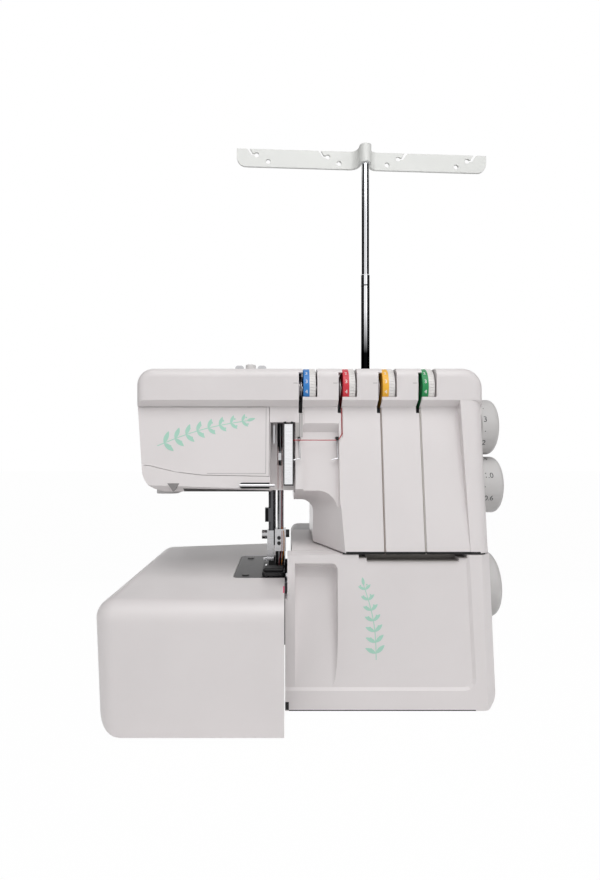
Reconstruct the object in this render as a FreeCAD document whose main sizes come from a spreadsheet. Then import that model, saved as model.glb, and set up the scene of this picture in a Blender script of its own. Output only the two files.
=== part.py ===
import FreeCAD, Part
import Sketcher
import math
import os
import re

Vector = FreeCAD.Vector
Rotation = FreeCAD.Rotation

# Driving sizes in millimetres. X counts from the seam between bed and looper cover, Y from the table front.
SIZES = {
    # places of the seam and of the table front in the part's own frame
    "seam_x": -40.5,
    "front_y": -145.0,
    # clearances
    "floor_gap": 3.6,
    "skin": 2.6,
    "face_sink": 2.86,
    "play": 0.4,
    "run_fit": 0.05,
    "hover": 0.3,
    # extension table
    "seam_gap": 2.0,
    "table_len": 142.5,
    "table_back_left": 219.0,
    "table_back_right": 247.0,
    "table_lean": 4.0,
    "table_front_r": 14.0,
    "table_corner_r": 16.0,
    "table_foot_r": 20.0,
    "table_side_r": 10.0,
    "bed_z": 102.0,
    "pad_len": 16.0,
    "pad_t": 4.4,
    "pad_in": 4.0,
    "pad_foot_r": 5.0,
    # needle plate and free arm
    "plate_len": 45.0,
    "plate_front": 72.0,
    "plate_depth": 88.0,
    "plate_t": 3.0,
    "plate_corner_r": 5.0,
    "plate_screw_r": 3.2,
    "plate_screw_in": 10.0,
    "plate_screw_h": 0.6,
    "arm_left": 3.0,
    "arm_front": 66.0,
    "arm_back": 161.4,
    "arm_h": 53.0,
    "arm_wall": 5.0,
    "arm_ledge": 3.0,
    # base
    "base_left": 4.0,
    "base_front": 57.0,
    "side_x": 165.8,
    "body_back": 165.0,
    "base_top": 129.0,
    "floor_t": 3.0,
    "floor_front": 60.0,
    "foot_r": 9.0,
    "foot_in_x": 16.0,
    "foot_in_y": 16.0,
    # looper cover
    "cover_left": -1.5,
    "cover_face": 38.0,
    "cover_depth": 17.5,
    "cover_top": 129.0,
    "cover_side_r": 15.0,
    "cover_slant": 9.0,
    "cover_slant_d": 8.0,
    "cover_return": 6.0,
    "cover_edge_r": 1.6,
    "base_lean": 5.6,
    "cover_foot_r": 13.0,
    "panel_low": 22.0,
    "panel_right": 144.4,
    "panel_sink": 1.6,
    "panel_r": 7.0,
    "panel_draft": 2.4,
    "notch_left": 57.9,
    "notch_right": 145.3,
    "notch_step": 6.4,
    "notch_drop": 2.6,
    "notch_deep": 14.0,
    "cover_step": 1.8,
    "cover_step_low": 93.0,
    "scoop_left": 6.4,
    "scoop_right": 41.0,
    "scoop_top": 122.0,
    "scoop_depth": 11.0,
    "scoop_turn": 14.0,
    "scoop_r": 5.0,
    "cover_core": 50.0,
    "hinge_y": 46.0,
    "hinge_z": 12.0,
    "hinge_rod_r": 2.0,
    "barrel_r": 3.6,
    "barrel_len": 10.0,
    "barrel_in": 14.0,
    "bracket_w": 8.0,
    "bracket_h": 8.0,
    "cover_trim_y": 51.0,
    "cover_trim_z": 22.0,
    # upper body
    "body_low": 130.4,
    "body_top": 282.0,
    "face_foot": 38.4,
    "face_head": 58.0,
    "band_front": 50.0,
    "band_low": 255.0,
    "bevel_low": 250.0,
    "side_top": 163.5,
    "head_left": -126.0,
    "head_left_low": -118.0,
    "head_low": 178.7,
    "chin_rise": 7.0,
    "chin_low": 2.6,
    "chin_run": 9.0,
    "chin_notch_x": -93.6,
    "chin_notch_w": 10.0,
    "chin_notch_h": 7.4,
    "head_corner_r": 20.0,
    "top_left_r": 14.0,
    "top_right_r": 17.0,
    "band_r": 8.0,
    "side_front_r": 12.0,
    "split_y": 112.0,
    "column_left": 6.0,
    "arch_side_front": 47.0,
    "arch_top_front": 183.7,
    "arch_r_front": 17.0,
    "arch_side_back": 23.6,
    "arch_top_back": 168.5,
    "arch_r_back": 11.0,
    "arch_back_y": 92.0,
    "cavity_back": 161.4,
    "cavity_left": -115.0,
    "cavity_right": 146.0,
    "column_hollow": 51.0,
    "head_hollow": -17.0,
    # needle recess and guide zone
    "recess_left": -14.0,
    "recess_right": 7.0,
    "recess_top": 236.8,
    "recess_back": 68.0,
    "zone_right": 43.5,
    "zone_left": 13.3,
    "zone_sink": 6.0,
    "zone_bevel_top": 236.0,
    "zone_bevel_low": 228.6,
    # face cover
    "face_right": -15.0,
    "face_seam_left": 201.0,
    "face_seam_mid": 193.0,
    "face_seam_right": 192.0,
    "face_mid_x": -70.0,
    "face_back": 96.0,
    # tension dials
    "dial_first": 13.6,
    "dial_pitch": 33.0,
    "dial_w": 10.4,
    "dial_r": 17.0,
    "dial_y": 68.0,
    "dial_z": 266.0,
    "dial_edge": 0.6,
    "window_low": 257.6,
    "window_side": 0.6,
    "window_gap": 1.2,
    "window_back": 90.0,
    "slot_w": 3.3,
    "slot_off": 2.2,
    "slot_low": 244.6,
    "slot_high": 278.0,
    "groove_w": 1.8,
    "strip_head_x": 143.6,
    "strip_foot_x": 148.0,
    "groove_off": 0.5,
    "groove_deep": 1.2,
    "groove_short": 224.0,
    "rod_r": 3.0,
    "disc_r": 9.0,
    "disc_t": 0.9,
    "disc_gap": 0.7,
    "bracket_t": 3.0,
    "bracket_z": 9.0,
    # right-hand dials and handwheel
    "knob_y": 84.0,
    "stitch_z": 233.6,
    "stitch_r": 24.3,
    "stitch_out": 181.2,
    "diff_z": 182.5,
    "diff_r": 24.8,
    "diff_out": 185.0,
    "knob_edge": 4.0,
    "knob_stem_r": 5.0,
    "knob_gap": 1.0,
    "wheel_y": 85.0,
    "wheel_z": 94.0,
    "wheel_r": 28.7,
    "wheel_in": 168.0,
    "wheel_out": 183.0,
    "wheel_edge": 6.0,
    # drive
    "shaft_r": 6.0,
    "shaft_room": 1.5,
    "shaft_left": 46.0,
    "frame_left": 52.0,
    "frame_t": 8.0,
    "frame_right": 128.0,
    "frame_front": 70.0,
    "frame_back": 156.0,
    "frame_floor_t": 5.4,
    "beam_front": 114.0,
    "beam_back": 150.0,
    "beam_low": 210.0,
    "beam_high": 262.0,
    "pulley_x": 140.0,
    "pulley_w": 12.0,
    "pulley_r": 26.0,
    "motor_y": 130.0,
    "motor_z": 38.0,
    "motor_r": 24.0,
    "motor_left": 64.0,
    "motor_shaft_r": 3.0,
    "motor_pulley_r": 9.0,
    "belt_t": 1.6,
    "belt_w": 8.0,
    # needle bar
    "needle_x": -6.0,
    "needle_y": 98.0,
    "needle_bar_r": 2.9,
    "needle_bar_top": 252.5,
    "clamp_w": 10.0,
    "clamp_d": 10.0,
    "clamp_low": 19.0,
    "clamp_h": 20.0,
    "clamp_screw_r": 3.6,
    "clamp_screw_len": 3.2,
    "set_screw_r": 1.7,
    "set_screw_h": 0.7,
    "needle_r": 0.5,
    "needle_apart": 2.6,
    "needle_tip": 9.0,
    "needle_slot_w": 8.0,
    "needle_slot_d": 12.0,
    "guide_low": 184.0,
    "guide_t": 12.0,
    "guide_high": 240.0,
    "guide_side": 8.0,
    "guide_ahead": 8.0,
    "rocker_y": 126.0,
    "rocker_z": 221.0,
    "rocker_r": 4.0,
    "rocker_w": 6.0,
    "rocker_h": 8.0,
    "rocker_drop": 13.0,
    "rocker_short": 6.0,
    "collar_w": 7.0,
    "collar_h": 8.0,
    "take_up_t": 2.4,
    "take_up_h": 6.0,
    "take_up_front": 54.0,
    # presser bar
    "presser_x": -14.0,
    "presser_y": 108.0,
    "presser_r": 3.5,
    "presser_top": 262.0,
    "holder_left": 4.5,
    "holder_right": 1.6,
    "holder_ahead": 4.2,
    "holder_behind": 5.8,
    "holder_low": 11.0,
    "holder_h": 25.0,
    "holder_screw_r": 4.2,
    "holder_screw_len": 5.0,
    "sole_left": -22.0,
    "sole_right": -2.0,
    "sole_front": 74.0,
    "sole_back": 116.0,
    "sole_t": 3.0,
    "sole_lift": 0.8,
    "toe_r": 4.0,
    "ankle_w": 6.0,
    "stop_h": 4.0,
    "stop_z": 204.0,
    "stop_back": 134.0,
    "cam_w": 4.8,
    "cam_back": 10.0,
    "guide_block_w": 3.0,
    "guide_block_low": 146.0,
    "guide_block_high": 159.0,
    # presser lifter
    "lifter_y": 124.0,
    "lifter_z": 190.0,
    "lifter_r": 4.0,
    "lifter_left": -120.0,
    "lifter_w": 20.0,
    "lifter_right": -30.0,
    "lifter_front": 92.0,
    "lifter_back": 184.0,
    "lifter_low": 173.5,
    "lifter_t": 3.5,
    "lifter_web": 3.0,
    "lifter_slot_top": 208.0,
    "lug_w": 10.0,
    # pressure knob and top guides
    "press_x": -33.0,
    "press_y": 92.0,
    "press_r": 4.6,
    "press_h": 9.0,
    "press_stem_r": 3.0,
    "press_low": 254.0,
    "tab_w": 8.0,
    "tab_t": 1.6,
    "tab_h": 8.2,
    "tab_off": 10.2,
    "tab_hole_r": 1.6,
    # loopers and knives
    "looper_shaft_r": 3.5,
    "looper_wall_y": 122.0,
    "looper_wall_t": 6.0,
    "looper_wall_left": 9.0,
    "upper_looper_x": 26.0,
    "upper_looper_z": 70.0,
    "lower_looper_x": 30.0,
    "lower_looper_z": 40.0,
    "looper_t": 3.0,
    "looper_front": 94.0,
    "looper_apart": 2.2,
    "upper_neck_in": 8.0,
    "upper_neck_w": 5.0,
    "upper_neck_h": 2.0,
    "upper_tip_in": 2.0,
    "upper_tip_h": 11.0,
    "lower_neck_in": 18.0,
    "lower_neck_w": 5.0,
    "lower_neck_h": 44.0,
    "lower_tip_in": 34.0,
    "lower_tip_h": 47.0,
    "tip_t": 2.0,
    "knife_pivot_x": 38.0,
    "knife_pivot_z": 99.0,
    "knife_y": 86.0,
    "knife_t": 2.0,
    "knife_w": 9.0,
    # feed dogs
    "dog_w": 2.2,
    "dog_pitch": 4.6,
    "dog_len": 17.0,
    "dog_h": 8.0,
    "dog_rise": 0.4,
    "dog_slot_end": 3.0,
    "dog_slot_side": 0.5,
    "dog_left": -20.0,
    "diff_dog_front": 79.0,
    "main_dog_front": 104.0,
    "dog_web_t": 4.0,
    # thread hooks
    "hook_z": 223.5,
    "hook_hole_r": 1.3,
    "bar_z": 184.5,
    "bar_r": 1.2,
    "bar_left": -39.0,
    "bar_len": 29.0,
    "fork_h": 18.0,
    "hook_r": 0.6,
    "hook_drop": 17.0,
    "hook_first": 10.0,
    "hook_second": 42.0,
    "hook_reach": 4.6,
    "hook_out": 4.0,
    "thread_r": 0.35,
    # take-up cover
    "shield_left": -2.5,
    "shield_right": 5.0,
    "shield_low": 185.0,
    "shield_high": 235.0,
    "shield_front": 51.0,
    "shield_t": 1.2,
    # antenna and spool stand
    "pole_x": 85.7,
    "pole_y": 185.0,
    "tube_r": 4.65,
    "tube_wall": 0.55,
    "tube_top": 404.0,
    "tube_groove_z": 392.0,
    "tube_groove": 0.35,
    "inner_wall": 0.8,
    "inner_top": 545.6,
    "inner_grip": 60.0,
    "guide_len": 281.5,
    "guide_bar_h": 19.6,
    "guide_bar_t": 2.4,
    "guide_back": 13.0,
    "guide_bend_r": 10.0,
    "guide_turn": 3.05,
    "guide_low_r": 10.5,
    "guide_hole_r": 2.7,
    "guide_slit": 2.2,
    "guide_slit_reach": 11.0,
    "guide_near": 27.0,
    "guide_far": 106.0,
    "guide_slot_step": 12.8,
    "guide_hole_up": 6.2,
    "guide_slot_down": 6.4,
    "stand_left": 5.0,
    "stand_right": 190.0,
    "stand_back": 290.0,
    "stand_top": 118.0,
    "stand_h": 24.0,
    "stand_r": 11.0,
    "stand_edge_r": 8.0,
    "pin_first": 48.0,
    "pin_pitch": 41.0,
    "pin_row": 226.0,
    "pin_step": 36.0,
    "pin_r": 3.0,
    "pin_h": 62.0,
    "pin_seat_r": 7.0,
    "pin_seat_h": 3.0,
    "cushion_r": 19.0,
    "cushion_t": 3.0,
    # power parts, lamp and screws
    "inlet_y": 130.0,
    "inlet_z": 74.0,
    "inlet_len": 28.0,
    "inlet_h": 20.0,
    "inlet_depth": 20.0,
    "switch_y": 96.0,
    "switch_z": 30.0,
    "switch_len": 14.0,
    "switch_h": 20.0,
    "switch_depth": 12.0,
    "switch_sink": 8.0,
    "lamp_x": -62.0,
    "lamp_r": 9.0,
    "lamp_y": 84.0,
    "lamp_t": 4.0,
    "screw_r": 3.5,
    "screw_h": 1.6,
}

doc = FreeCAD.newDocument("Serger")
sheet = doc.addObject("Spreadsheet::Sheet", "Sizes")
for row, (alias, size) in enumerate(SIZES.items(), start=1):
    sheet.set(f"A{row}", alias)
    sheet.set(f"B{row}", str(size))
    sheet.setAlias(f"B{row}", alias)
doc.recompute()

WORD = re.compile(r"\b[a-z][a-z_]*\b")
NODES = {}


def ref(text):
    """Point each name of the sheet in an expression at its cell."""
    return WORD.sub(lambda m: f"Sizes.{m.group()}" if m.group() in SIZES else m.group(), text)


def num(text):
    """Work out an expression of the sheet's names."""
    return float(sheet.evalExpression(ref(str(text))))


def bind(obj, pairs):
    """Bind properties of an object to expressions and work the object out."""
    for prop, text in pairs.items():
        obj.setExpression(prop, ref(str(text)))
    obj.recompute()
    obj.purgeTouched()
    return obj


def at_x(text):
    return f"seam_x + ({text})"


def at_y(text):
    return f"front_y + ({text})"


def box(name, x0, x1, y0, y1, z0, z1):
    """A block between six planes."""
    return bind(doc.addObject("Part::Box", name), {
        "Length": f"({x1}) - ({x0})",
        "Width": f"({y1}) - ({y0})",
        "Height": f"({z1}) - ({z0})",
        "Placement.Base.x": at_x(x0),
        "Placement.Base.y": at_y(y0),
        "Placement.Base.z": z0,
    })


AXIS_TURN = {
    "x": Rotation(Vector(0, 1, 0), 90),
    "y": Rotation(Vector(1, 0, 0), -90),
    "z": Rotation(),
}


def centre(axis, first, second, low):
    """Expressions for the foot of an axis through two cross coordinates."""
    places = {
        "x": (low, first, second),
        "y": (first, low, second),
        "z": (first, second, low),
    }[axis]
    return {
        "Placement.Base.x": at_x(places[0]),
        "Placement.Base.y": at_y(places[1]),
        "Placement.Base.z": places[2],
    }


def rod(name, axis, first, second, low, high, radius):
    """A round bar along an axis, from low to high."""
    obj = doc.addObject("Part::Cylinder", name)
    obj.Placement = FreeCAD.Placement(Vector(), AXIS_TURN[axis])
    sizes = {"Radius": radius, "Height": f"({high}) - ({low})"}
    return bind(obj, {**sizes, **centre(axis, first, second, low)})


PLANE_TURN = {
    "xy": (Rotation(), "z", Vector(0, 0, 1)),
    "xz": (Rotation(Vector(1, 0, 0), 90), "y", Vector(0, 1, 0)),
    "yz": (Rotation(Vector(1, 1, 1), 120), "x", Vector(1, 0, 0)),
}
SHIFT = {"x": at_x, "y": at_y, "z": str}


def prism(name, plane, points, low, high):
    """A straight-sided outline on a plane, drawn out from low to high."""
    turn, axis, direction = PLANE_TURN[plane]
    outline = doc.addObject("Sketcher::SketchObject", name + "_outline")
    outline.Placement = FreeCAD.Placement(Vector(), turn)
    spots = [(SHIFT[plane[0]](a), SHIFT[plane[1]](b)) for a, b in points]
    flat = [Vector(num(a), num(b), 0) for a, b in spots]
    count = len(flat)
    for i in range(count):
        outline.addGeometry(Part.LineSegment(flat[i], flat[(i + 1) % count]))
    for i in range(count):
        outline.addConstraint(Sketcher.Constraint("Coincident", i, 2, (i + 1) % count, 1))
    for i, (across, up) in enumerate(spots):
        for kind, text, size in (("DistanceX", across, flat[i].x), ("DistanceY", up, flat[i].y)):
            place = outline.addConstraint(Sketcher.Constraint(kind, -1, 1, i, 1, size))
            outline.setExpression(f"Constraints[{place}]", ref(text))
    bind(outline, {f"Placement.Base.{axis}": SHIFT[axis](low)})
    solid = doc.addObject("Part::Extrusion", name)
    solid.Base = outline
    solid.DirMode = "Custom"
    solid.Dir = direction
    solid.Solid = True
    return bind(solid, {"LengthFwd": f"({high}) - ({low})"})


def join(name, *pieces):
    """Fuse pieces one after another."""
    whole = pieces[0]
    for piece in pieces[1:]:
        obj = doc.addObject("Part::Fuse", name)
        obj.Base = whole
        obj.Tool = piece
        obj.Refine = piece is pieces[-1]
        obj.recompute()
        obj.purgeTouched()
        whole = obj
    return whole


def cut(name, base, *tools):
    obj = doc.addObject("Part::Cut", name)
    obj.Base = base
    obj.Tool = tools[0] if len(tools) == 1 else join(name + "_tools", *tools)
    obj.Refine = False
    obj.recompute()
    obj.purgeTouched()
    return obj


def meet(name, *pieces):
    obj = doc.addObject("Part::MultiCommon", name)
    obj.Shapes = list(pieces)
    obj.recompute()
    obj.purgeTouched()
    return obj


def group(name, pieces):
    obj = doc.addObject("Part::Compound", name)
    obj.Links = list(pieces)
    obj.recompute()
    obj.purgeTouched()
    return obj


def rounded(name, base, radius, wanted):
    """Round the edges of a solid that a test on their middle and direction picks."""
    picked = []
    for place, edge in enumerate(base.Shape.Edges, start=1):
        middle = edge.valueAt((edge.FirstParameter + edge.LastParameter) / 2)
        along = edge.tangentAt((edge.FirstParameter + edge.LastParameter) / 2)
        spot = Vector(middle.x - num("seam_x"), middle.y - num("front_y"), middle.z)
        if wanted(spot, along):
            picked.append((place, num(radius), num(radius)))
    obj = doc.addObject("Part::Fillet", name)
    obj.Base = base
    obj.Edges = picked
    obj.recompute()
    obj.purgeTouched()
    return obj


def near(value, text, gap=0.05):
    return abs(value - num(text)) < gap


def runs(along, axis):
    return abs(getattr(along, axis)) > 0.9


def node(name, obj):
    """Name the object that stands for one node of the part."""
    obj.Label = name
    NODES[name] = obj
    return obj


def shaped(name, shape):
    """A code-made solid for a form that primitives don't give."""
    obj = doc.addObject("Part::Feature", name)
    obj.Shape = shape
    return obj


def spot(x, y, z):
    """A point from three expressions."""
    return Vector(num(at_x(x)), num(at_y(y)), num(z))


def wire_run(points, radius):
    """A round wire through points, with ball corners."""
    bars = [Part.makeCylinder(radius, (b - a).Length, a, b - a) for a, b in zip(points, points[1:])]
    balls = [Part.makeSphere(radius, p) for p in points[1:-1]]
    return bars[0].multiFuse(bars[1:] + balls).removeSplitter() if len(points) > 2 else bars[0]


def face_y(z, sink="0"):
    """Where the leaning front face lies at a height."""
    return f"face_foot + (face_head - face_foot) * (({z}) - body_low) / (bevel_low - body_low) + ({sink})"


def corner_cutter(name, x_edge, z_edge, radius, side, low, high):
    """What a corner loses when it is rounded along Y, at the left (-1) or right (1) foot of a piece."""
    inner_x = f"({x_edge}) - {side} * ({radius})"
    inner_z = f"({z_edge}) + ({radius})"
    x_low, x_high = (f"({x_edge}) - 1", inner_x) if side < 0 else (inner_x, f"({x_edge}) + 1")
    block = box(name + "_block", x_low, x_high, low, high, f"({z_edge}) - 1", inner_z)
    return cut(name, block, rod(name + "_round", "y", inner_x, inner_z, low, high, radius))


def base():
    """Floor plate, rubber feet and the shell round the drive."""
    left, right = "base_left + skin", "side_x - skin"
    back = "body_back - skin"
    floor_top = "floor_gap + floor_t"
    node("base_plate", box("base_plate_blank", left, right, "floor_front", back, "floor_gap", floor_top))
    feet = []
    for x in ("base_left + foot_in_x", "side_x - foot_in_x"):
        for y in ("floor_front + foot_in_y", "body_back - foot_in_y"):
            feet.append(rod("rubber_foot", "z", x, y, "0", "floor_gap", "foot_r"))
    node("rubber_feet", group("feet", feet))

    block = box("shell_block", "base_left", "side_x", "base_front", "body_back", "floor_gap", "base_top")
    hollow = box("shell_hollow", left, right, "base_front - 1", back, "floor_gap - 1", "base_top + 1")
    arm_way = box("shell_arm_way", "base_left - 1", "base_left + skin + 1", "arm_front - play",
                  "arm_back + play", "bed_z - plate_t - arm_h - play", "base_top + 1")
    shaft_way = rod("shell_shaft_way", "x", "wheel_y", "wheel_z", "side_x - skin - 1", "side_x + 1",
                    "shaft_r + shaft_room")
    inlet_way = box("shell_inlet_way", "side_x - skin - 1", "side_x + 1", "inlet_y", "inlet_y + inlet_len",
                    "inlet_z", "inlet_z + inlet_h")
    switch_way = box("shell_switch_way", "side_x - skin - 1", "side_x + 1", "switch_y - play",
                     "switch_y + switch_len + play", "switch_z - play", "switch_z + switch_h + play")
    shell = cut("shell", block, hollow, arm_way, shaft_way, inlet_way, switch_way)
    lid = box("shell_lid", "base_left", "frame_left - play", "base_front", "body_back", "base_top - skin",
              "base_top")
    node("base_shell", join("shell_lidded", shell, lid))


def bracket_spans():
    """X spans of the two hinge brackets, each beside its barrel on the cover."""
    first = "cover_left + barrel_in + barrel_len + play"
    last = "side_x - barrel_in - barrel_len - play - bracket_w"
    return [(start, f"{start} + bracket_w") for start in (first, last)]


def cover_blank(back):
    """Block of the cover: its right side leans out towards the floor and is slanted at the front."""
    def plan(z, lean):
        side = f"side_x + {lean}"
        corners = [("cover_left", "cover_face"), (f"{side} - cover_slant", "cover_face"),
                   (side, "cover_face + cover_slant_d"), (side, f"{back} - cover_return"),
                   ("side_x", back), ("cover_left", back)]
        row = [spot(x, y, z) for x, y in corners]
        return Part.makePolygon(row + row[:1])

    wires = [plan("floor_gap", "base_lean"), plan("cover_top", "0")]
    return shaped("cover_block", Part.makeLoft(wires, True, True))


def cover_panel(panel_face):
    """Sunk field of the cover with drafted edges and a round lower corner."""
    def outline(y, grow):
        radius = num("panel_r") + grow
        right = num("panel_right + base_lean") + grow - radius
        low = num("panel_low") - grow + radius
        row = [("cover_left - 1", "cover_top + 1"), ("cover_left - 1", f"panel_low - {grow}")]
        for turn in (-90, -60, -30, 0):
            angle = math.radians(turn)
            row.append((f"{right + radius * math.cos(angle)}", f"{low + radius * math.sin(angle)}"))
        row.append((f"panel_right + {grow}", "cover_top + 1"))
        points = [spot(x, y, z) for x, z in row]
        return Part.makePolygon(points + points[:1])

    wires = [outline(panel_face, 0), outline("cover_face - panel_sink", 2 * num("panel_draft"))]
    return shaped("cover_panel", Part.makeLoft(wires, True, True))


def looper_cover():
    """Front door with its sunk panel, finger scoop, stepped top edge and hinge barrels."""
    back = "cover_face + cover_depth"
    panel_face = "cover_face + panel_sink"
    block = rounded("cover_bent", cover_blank(back), "cover_edge_r",
                    lambda p, d: runs(d, "z") and near(p.y, "cover_face") and p.x > num("panel_right"))
    panel = cover_panel(panel_face)
    steps = [box("cover_notch", f"notch_left + {i} * notch_step", f"notch_right - {i} * notch_step",
                 "cover_face - 1", "cover_face + notch_deep", f"cover_top - {i + 1} * notch_drop",
                 "cover_top + 1")
             for i in range(2)]
    deep = f"{panel_face} + scoop_depth"
    scoop = prism("cover_scoop_tool", "yz", [
        ("cover_face - 1", "panel_low"),
        (panel_face, "panel_low"),
        (deep, "scoop_top - scoop_turn"),
        (deep, "scoop_top - scoop_r"),
        (panel_face, "scoop_top"),
        ("cover_face - 1", "scoop_top"),
    ], "scoop_left", "scoop_right")
    scoop = rounded("cover_scoop", scoop, "scoop_r",
                    lambda p, d: near(p.x, "scoop_right") and p.y > num(panel_face) + 1)
    core = box("cover_core_hollow", "cover_core", "side_x - skin", f"{panel_face} + skin", f"{back} + 1",
               "floor_gap + skin", "cover_top - 2 * notch_drop - skin")
    core = rounded("cover_core_bent", core, "cover_side_r - skin",
                   lambda p, d: runs(d, "z") and near(p.x, "side_x - skin") and p.y < num(back))
    foot_hollow = box("cover_foot_hollow", "cover_left + skin", "cover_core + 1", f"{panel_face} + skin",
                      f"{back} + 1", "floor_gap + skin", "panel_low + skin")
    trim = box("cover_trim", "cover_left - 1", "side_x + 1", "cover_trim_y", f"{back} + 1",
               "floor_gap - 1", "cover_trim_z")
    ways = [box("cover_bracket_way", f"{a} - 1", f"{b} + 1", f"{panel_face} + skin", f"{back} + 1",
                "floor_gap - 1", "floor_gap + skin + 1") for a, b in bracket_spans()]
    corner = corner_cutter("cover_corner", "side_x + base_lean", "floor_gap", "cover_foot_r", 1,
                           "cover_face - 1", f"{back} + 1")
    side_step = box("cover_side_step", "cover_left - 1", "cover_left + cover_step", "cover_face - 1",
                    f"{back} + 1",
                    "cover_step_low", "cover_top + 1")
    shell = cut("cover_shell", block, panel, *steps, side_step, scoop, core, foot_hollow, trim, corner, *ways)
    parts = [shell]
    for start in ("cover_left + barrel_in", "side_x - barrel_in - barrel_len"):
        end = f"{start} + barrel_len"
        parts.append(rod("cover_barrel", "x", "hinge_y", "hinge_z", start, end, "barrel_r"))
        parts.append(box("cover_barrel_web", start, end, f"{panel_face} + skin - 1", "hinge_y",
                         "hinge_z - barrel_r + 1", "hinge_z + barrel_r - 1"))
    bore = rod("cover_bore", "x", "hinge_y", "hinge_z", "cover_left + skin", "side_x - skin",
               "hinge_rod_r + run_fit")
    node("looper_cover", cut("cover", join("cover_solid", *parts), bore))

    brackets = []
    bearing = rod("bracket_bore", "x", "hinge_y", "hinge_z", "cover_left", "side_x", "hinge_rod_r")
    for a, b in bracket_spans():
        low, high = "hinge_z - barrel_r + hover", "hinge_z + bracket_h / 2"
        arm = box("bracket_arm", a, b, "hinge_y", "floor_front + foot_r", low, high)
        nose = rod("bracket_nose", "x", "hinge_y", "hinge_z", a, b, "barrel_r - hover")
        foot = box("bracket_foot", a, b, "floor_front", "floor_front + foot_r", "floor_gap + floor_t", high)
        brackets.append(cut("bracket", join("bracket_solid", arm, nose, foot), bearing))
    node("hinge_brackets", group("brackets", brackets))
    node("cover_hinge_rod", rod("hinge_rod", "x", "hinge_y", "hinge_z", "cover_left + barrel_in / 2",
                                "side_x - barrel_in / 2", "hinge_rod_r"))


def table_form(name, inset, low):
    """Outer or inner form of the extension table, drawn in by a wall."""
    left = f"-seam_gap - table_len + {inset}"
    right = "-seam_gap" if inset == "0" else "-seam_gap + 1"
    front = inset
    top = f"bed_z - {inset}"
    plan = prism(name + "_plan", "xy", [
        (left, front),
        (right, front),
        (right, f"table_back_right - {inset}"),
        (left, f"table_back_left - {inset}"),
    ], low, top)
    lean = prism(name + "_lean", "xz", [
        (f"{left} + table_lean", low),
        (right, low),
        (right, top),
        (left, top),
    ], f"{front} - 1", "table_back_right + 1")
    form = meet(name + "_block", plan, lean)
    form = rounded(name + "_corner", form, f"table_corner_r - {inset}",
                   lambda p, d: runs(d, "z") and p.x < num(left) + 20 and p.y < num(front) + 1)
    form = rounded(name + "_back_corner", form, f"table_side_r - {inset}",
                   lambda p, d: runs(d, "z") and p.x < num(left) + 20 and p.y > num("table_back_left") - 9)
    return rounded(name, form, f"table_front_r - {inset}",
                   lambda p, d: near(p.z, top) and abs(d.z) < 0.1 and p.x < num(right) - 0.5)


def extension_table():
    """Hollow bed block that slides off the free arm, with corner pads for its feet."""
    left = "-seam_gap - table_len"
    outer = table_form("table_outer", "0", "floor_gap")
    inner = table_form("table_inner", "skin", "floor_gap - 1")
    corner = corner_cutter("table_corner", f"{left} + table_lean", "floor_gap", "table_foot_r", -1,
                           "-1", "table_back_right + 1")
    window = box("table_window", "-seam_gap - plate_len - play", "0", "plate_front - play",
                 "plate_front + plate_depth + play", "bed_z - skin - 1", "bed_z + 1")
    window = rounded("table_window_round", window, "plate_corner_r + play",
                     lambda p, d: runs(d, "z") and p.x < num("-seam_gap - plate_len"))
    shell = cut("table_shell", outer, inner, window, corner)
    pads = []
    feet = []
    for y in ("pad_in + table_foot_r", "table_back_left - table_foot_r - pad_len"):
        x = f"{left} + table_lean + table_foot_r"
        pads.append(box("table_pad", f"{left} + table_lean + skin / 2", f"{x} + pad_len", y, f"{y} + pad_len",
                        "floor_gap + table_foot_r - pad_t", "floor_gap + table_foot_r"))
        pads.append(box("table_pad_leg", x, f"{x} + pad_len", y, f"{y} + pad_len", "floor_gap",
                        "floor_gap + table_foot_r"))
        feet.append(rod("table_foot", "z", f"{x} + pad_len / 2", f"{y} + pad_len / 2", "0", "floor_gap",
                        "pad_foot_r"))
    node("extension_table", join("table", shell, *pads))
    node("table_feet", group("table_foot_set", feet))


def dog_bars(name, front, grow_side, grow_end, low, high):
    """Two bars of a feed dog, or the slots for them."""
    return [box(name, f"dog_left + {i} * dog_pitch - {grow_side}",
                f"dog_left + {i} * dog_pitch + dog_w + {grow_side}",
                f"{front} - {grow_end}", f"{front} + dog_len + {grow_end}", low, high) for i in range(2)]


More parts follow.
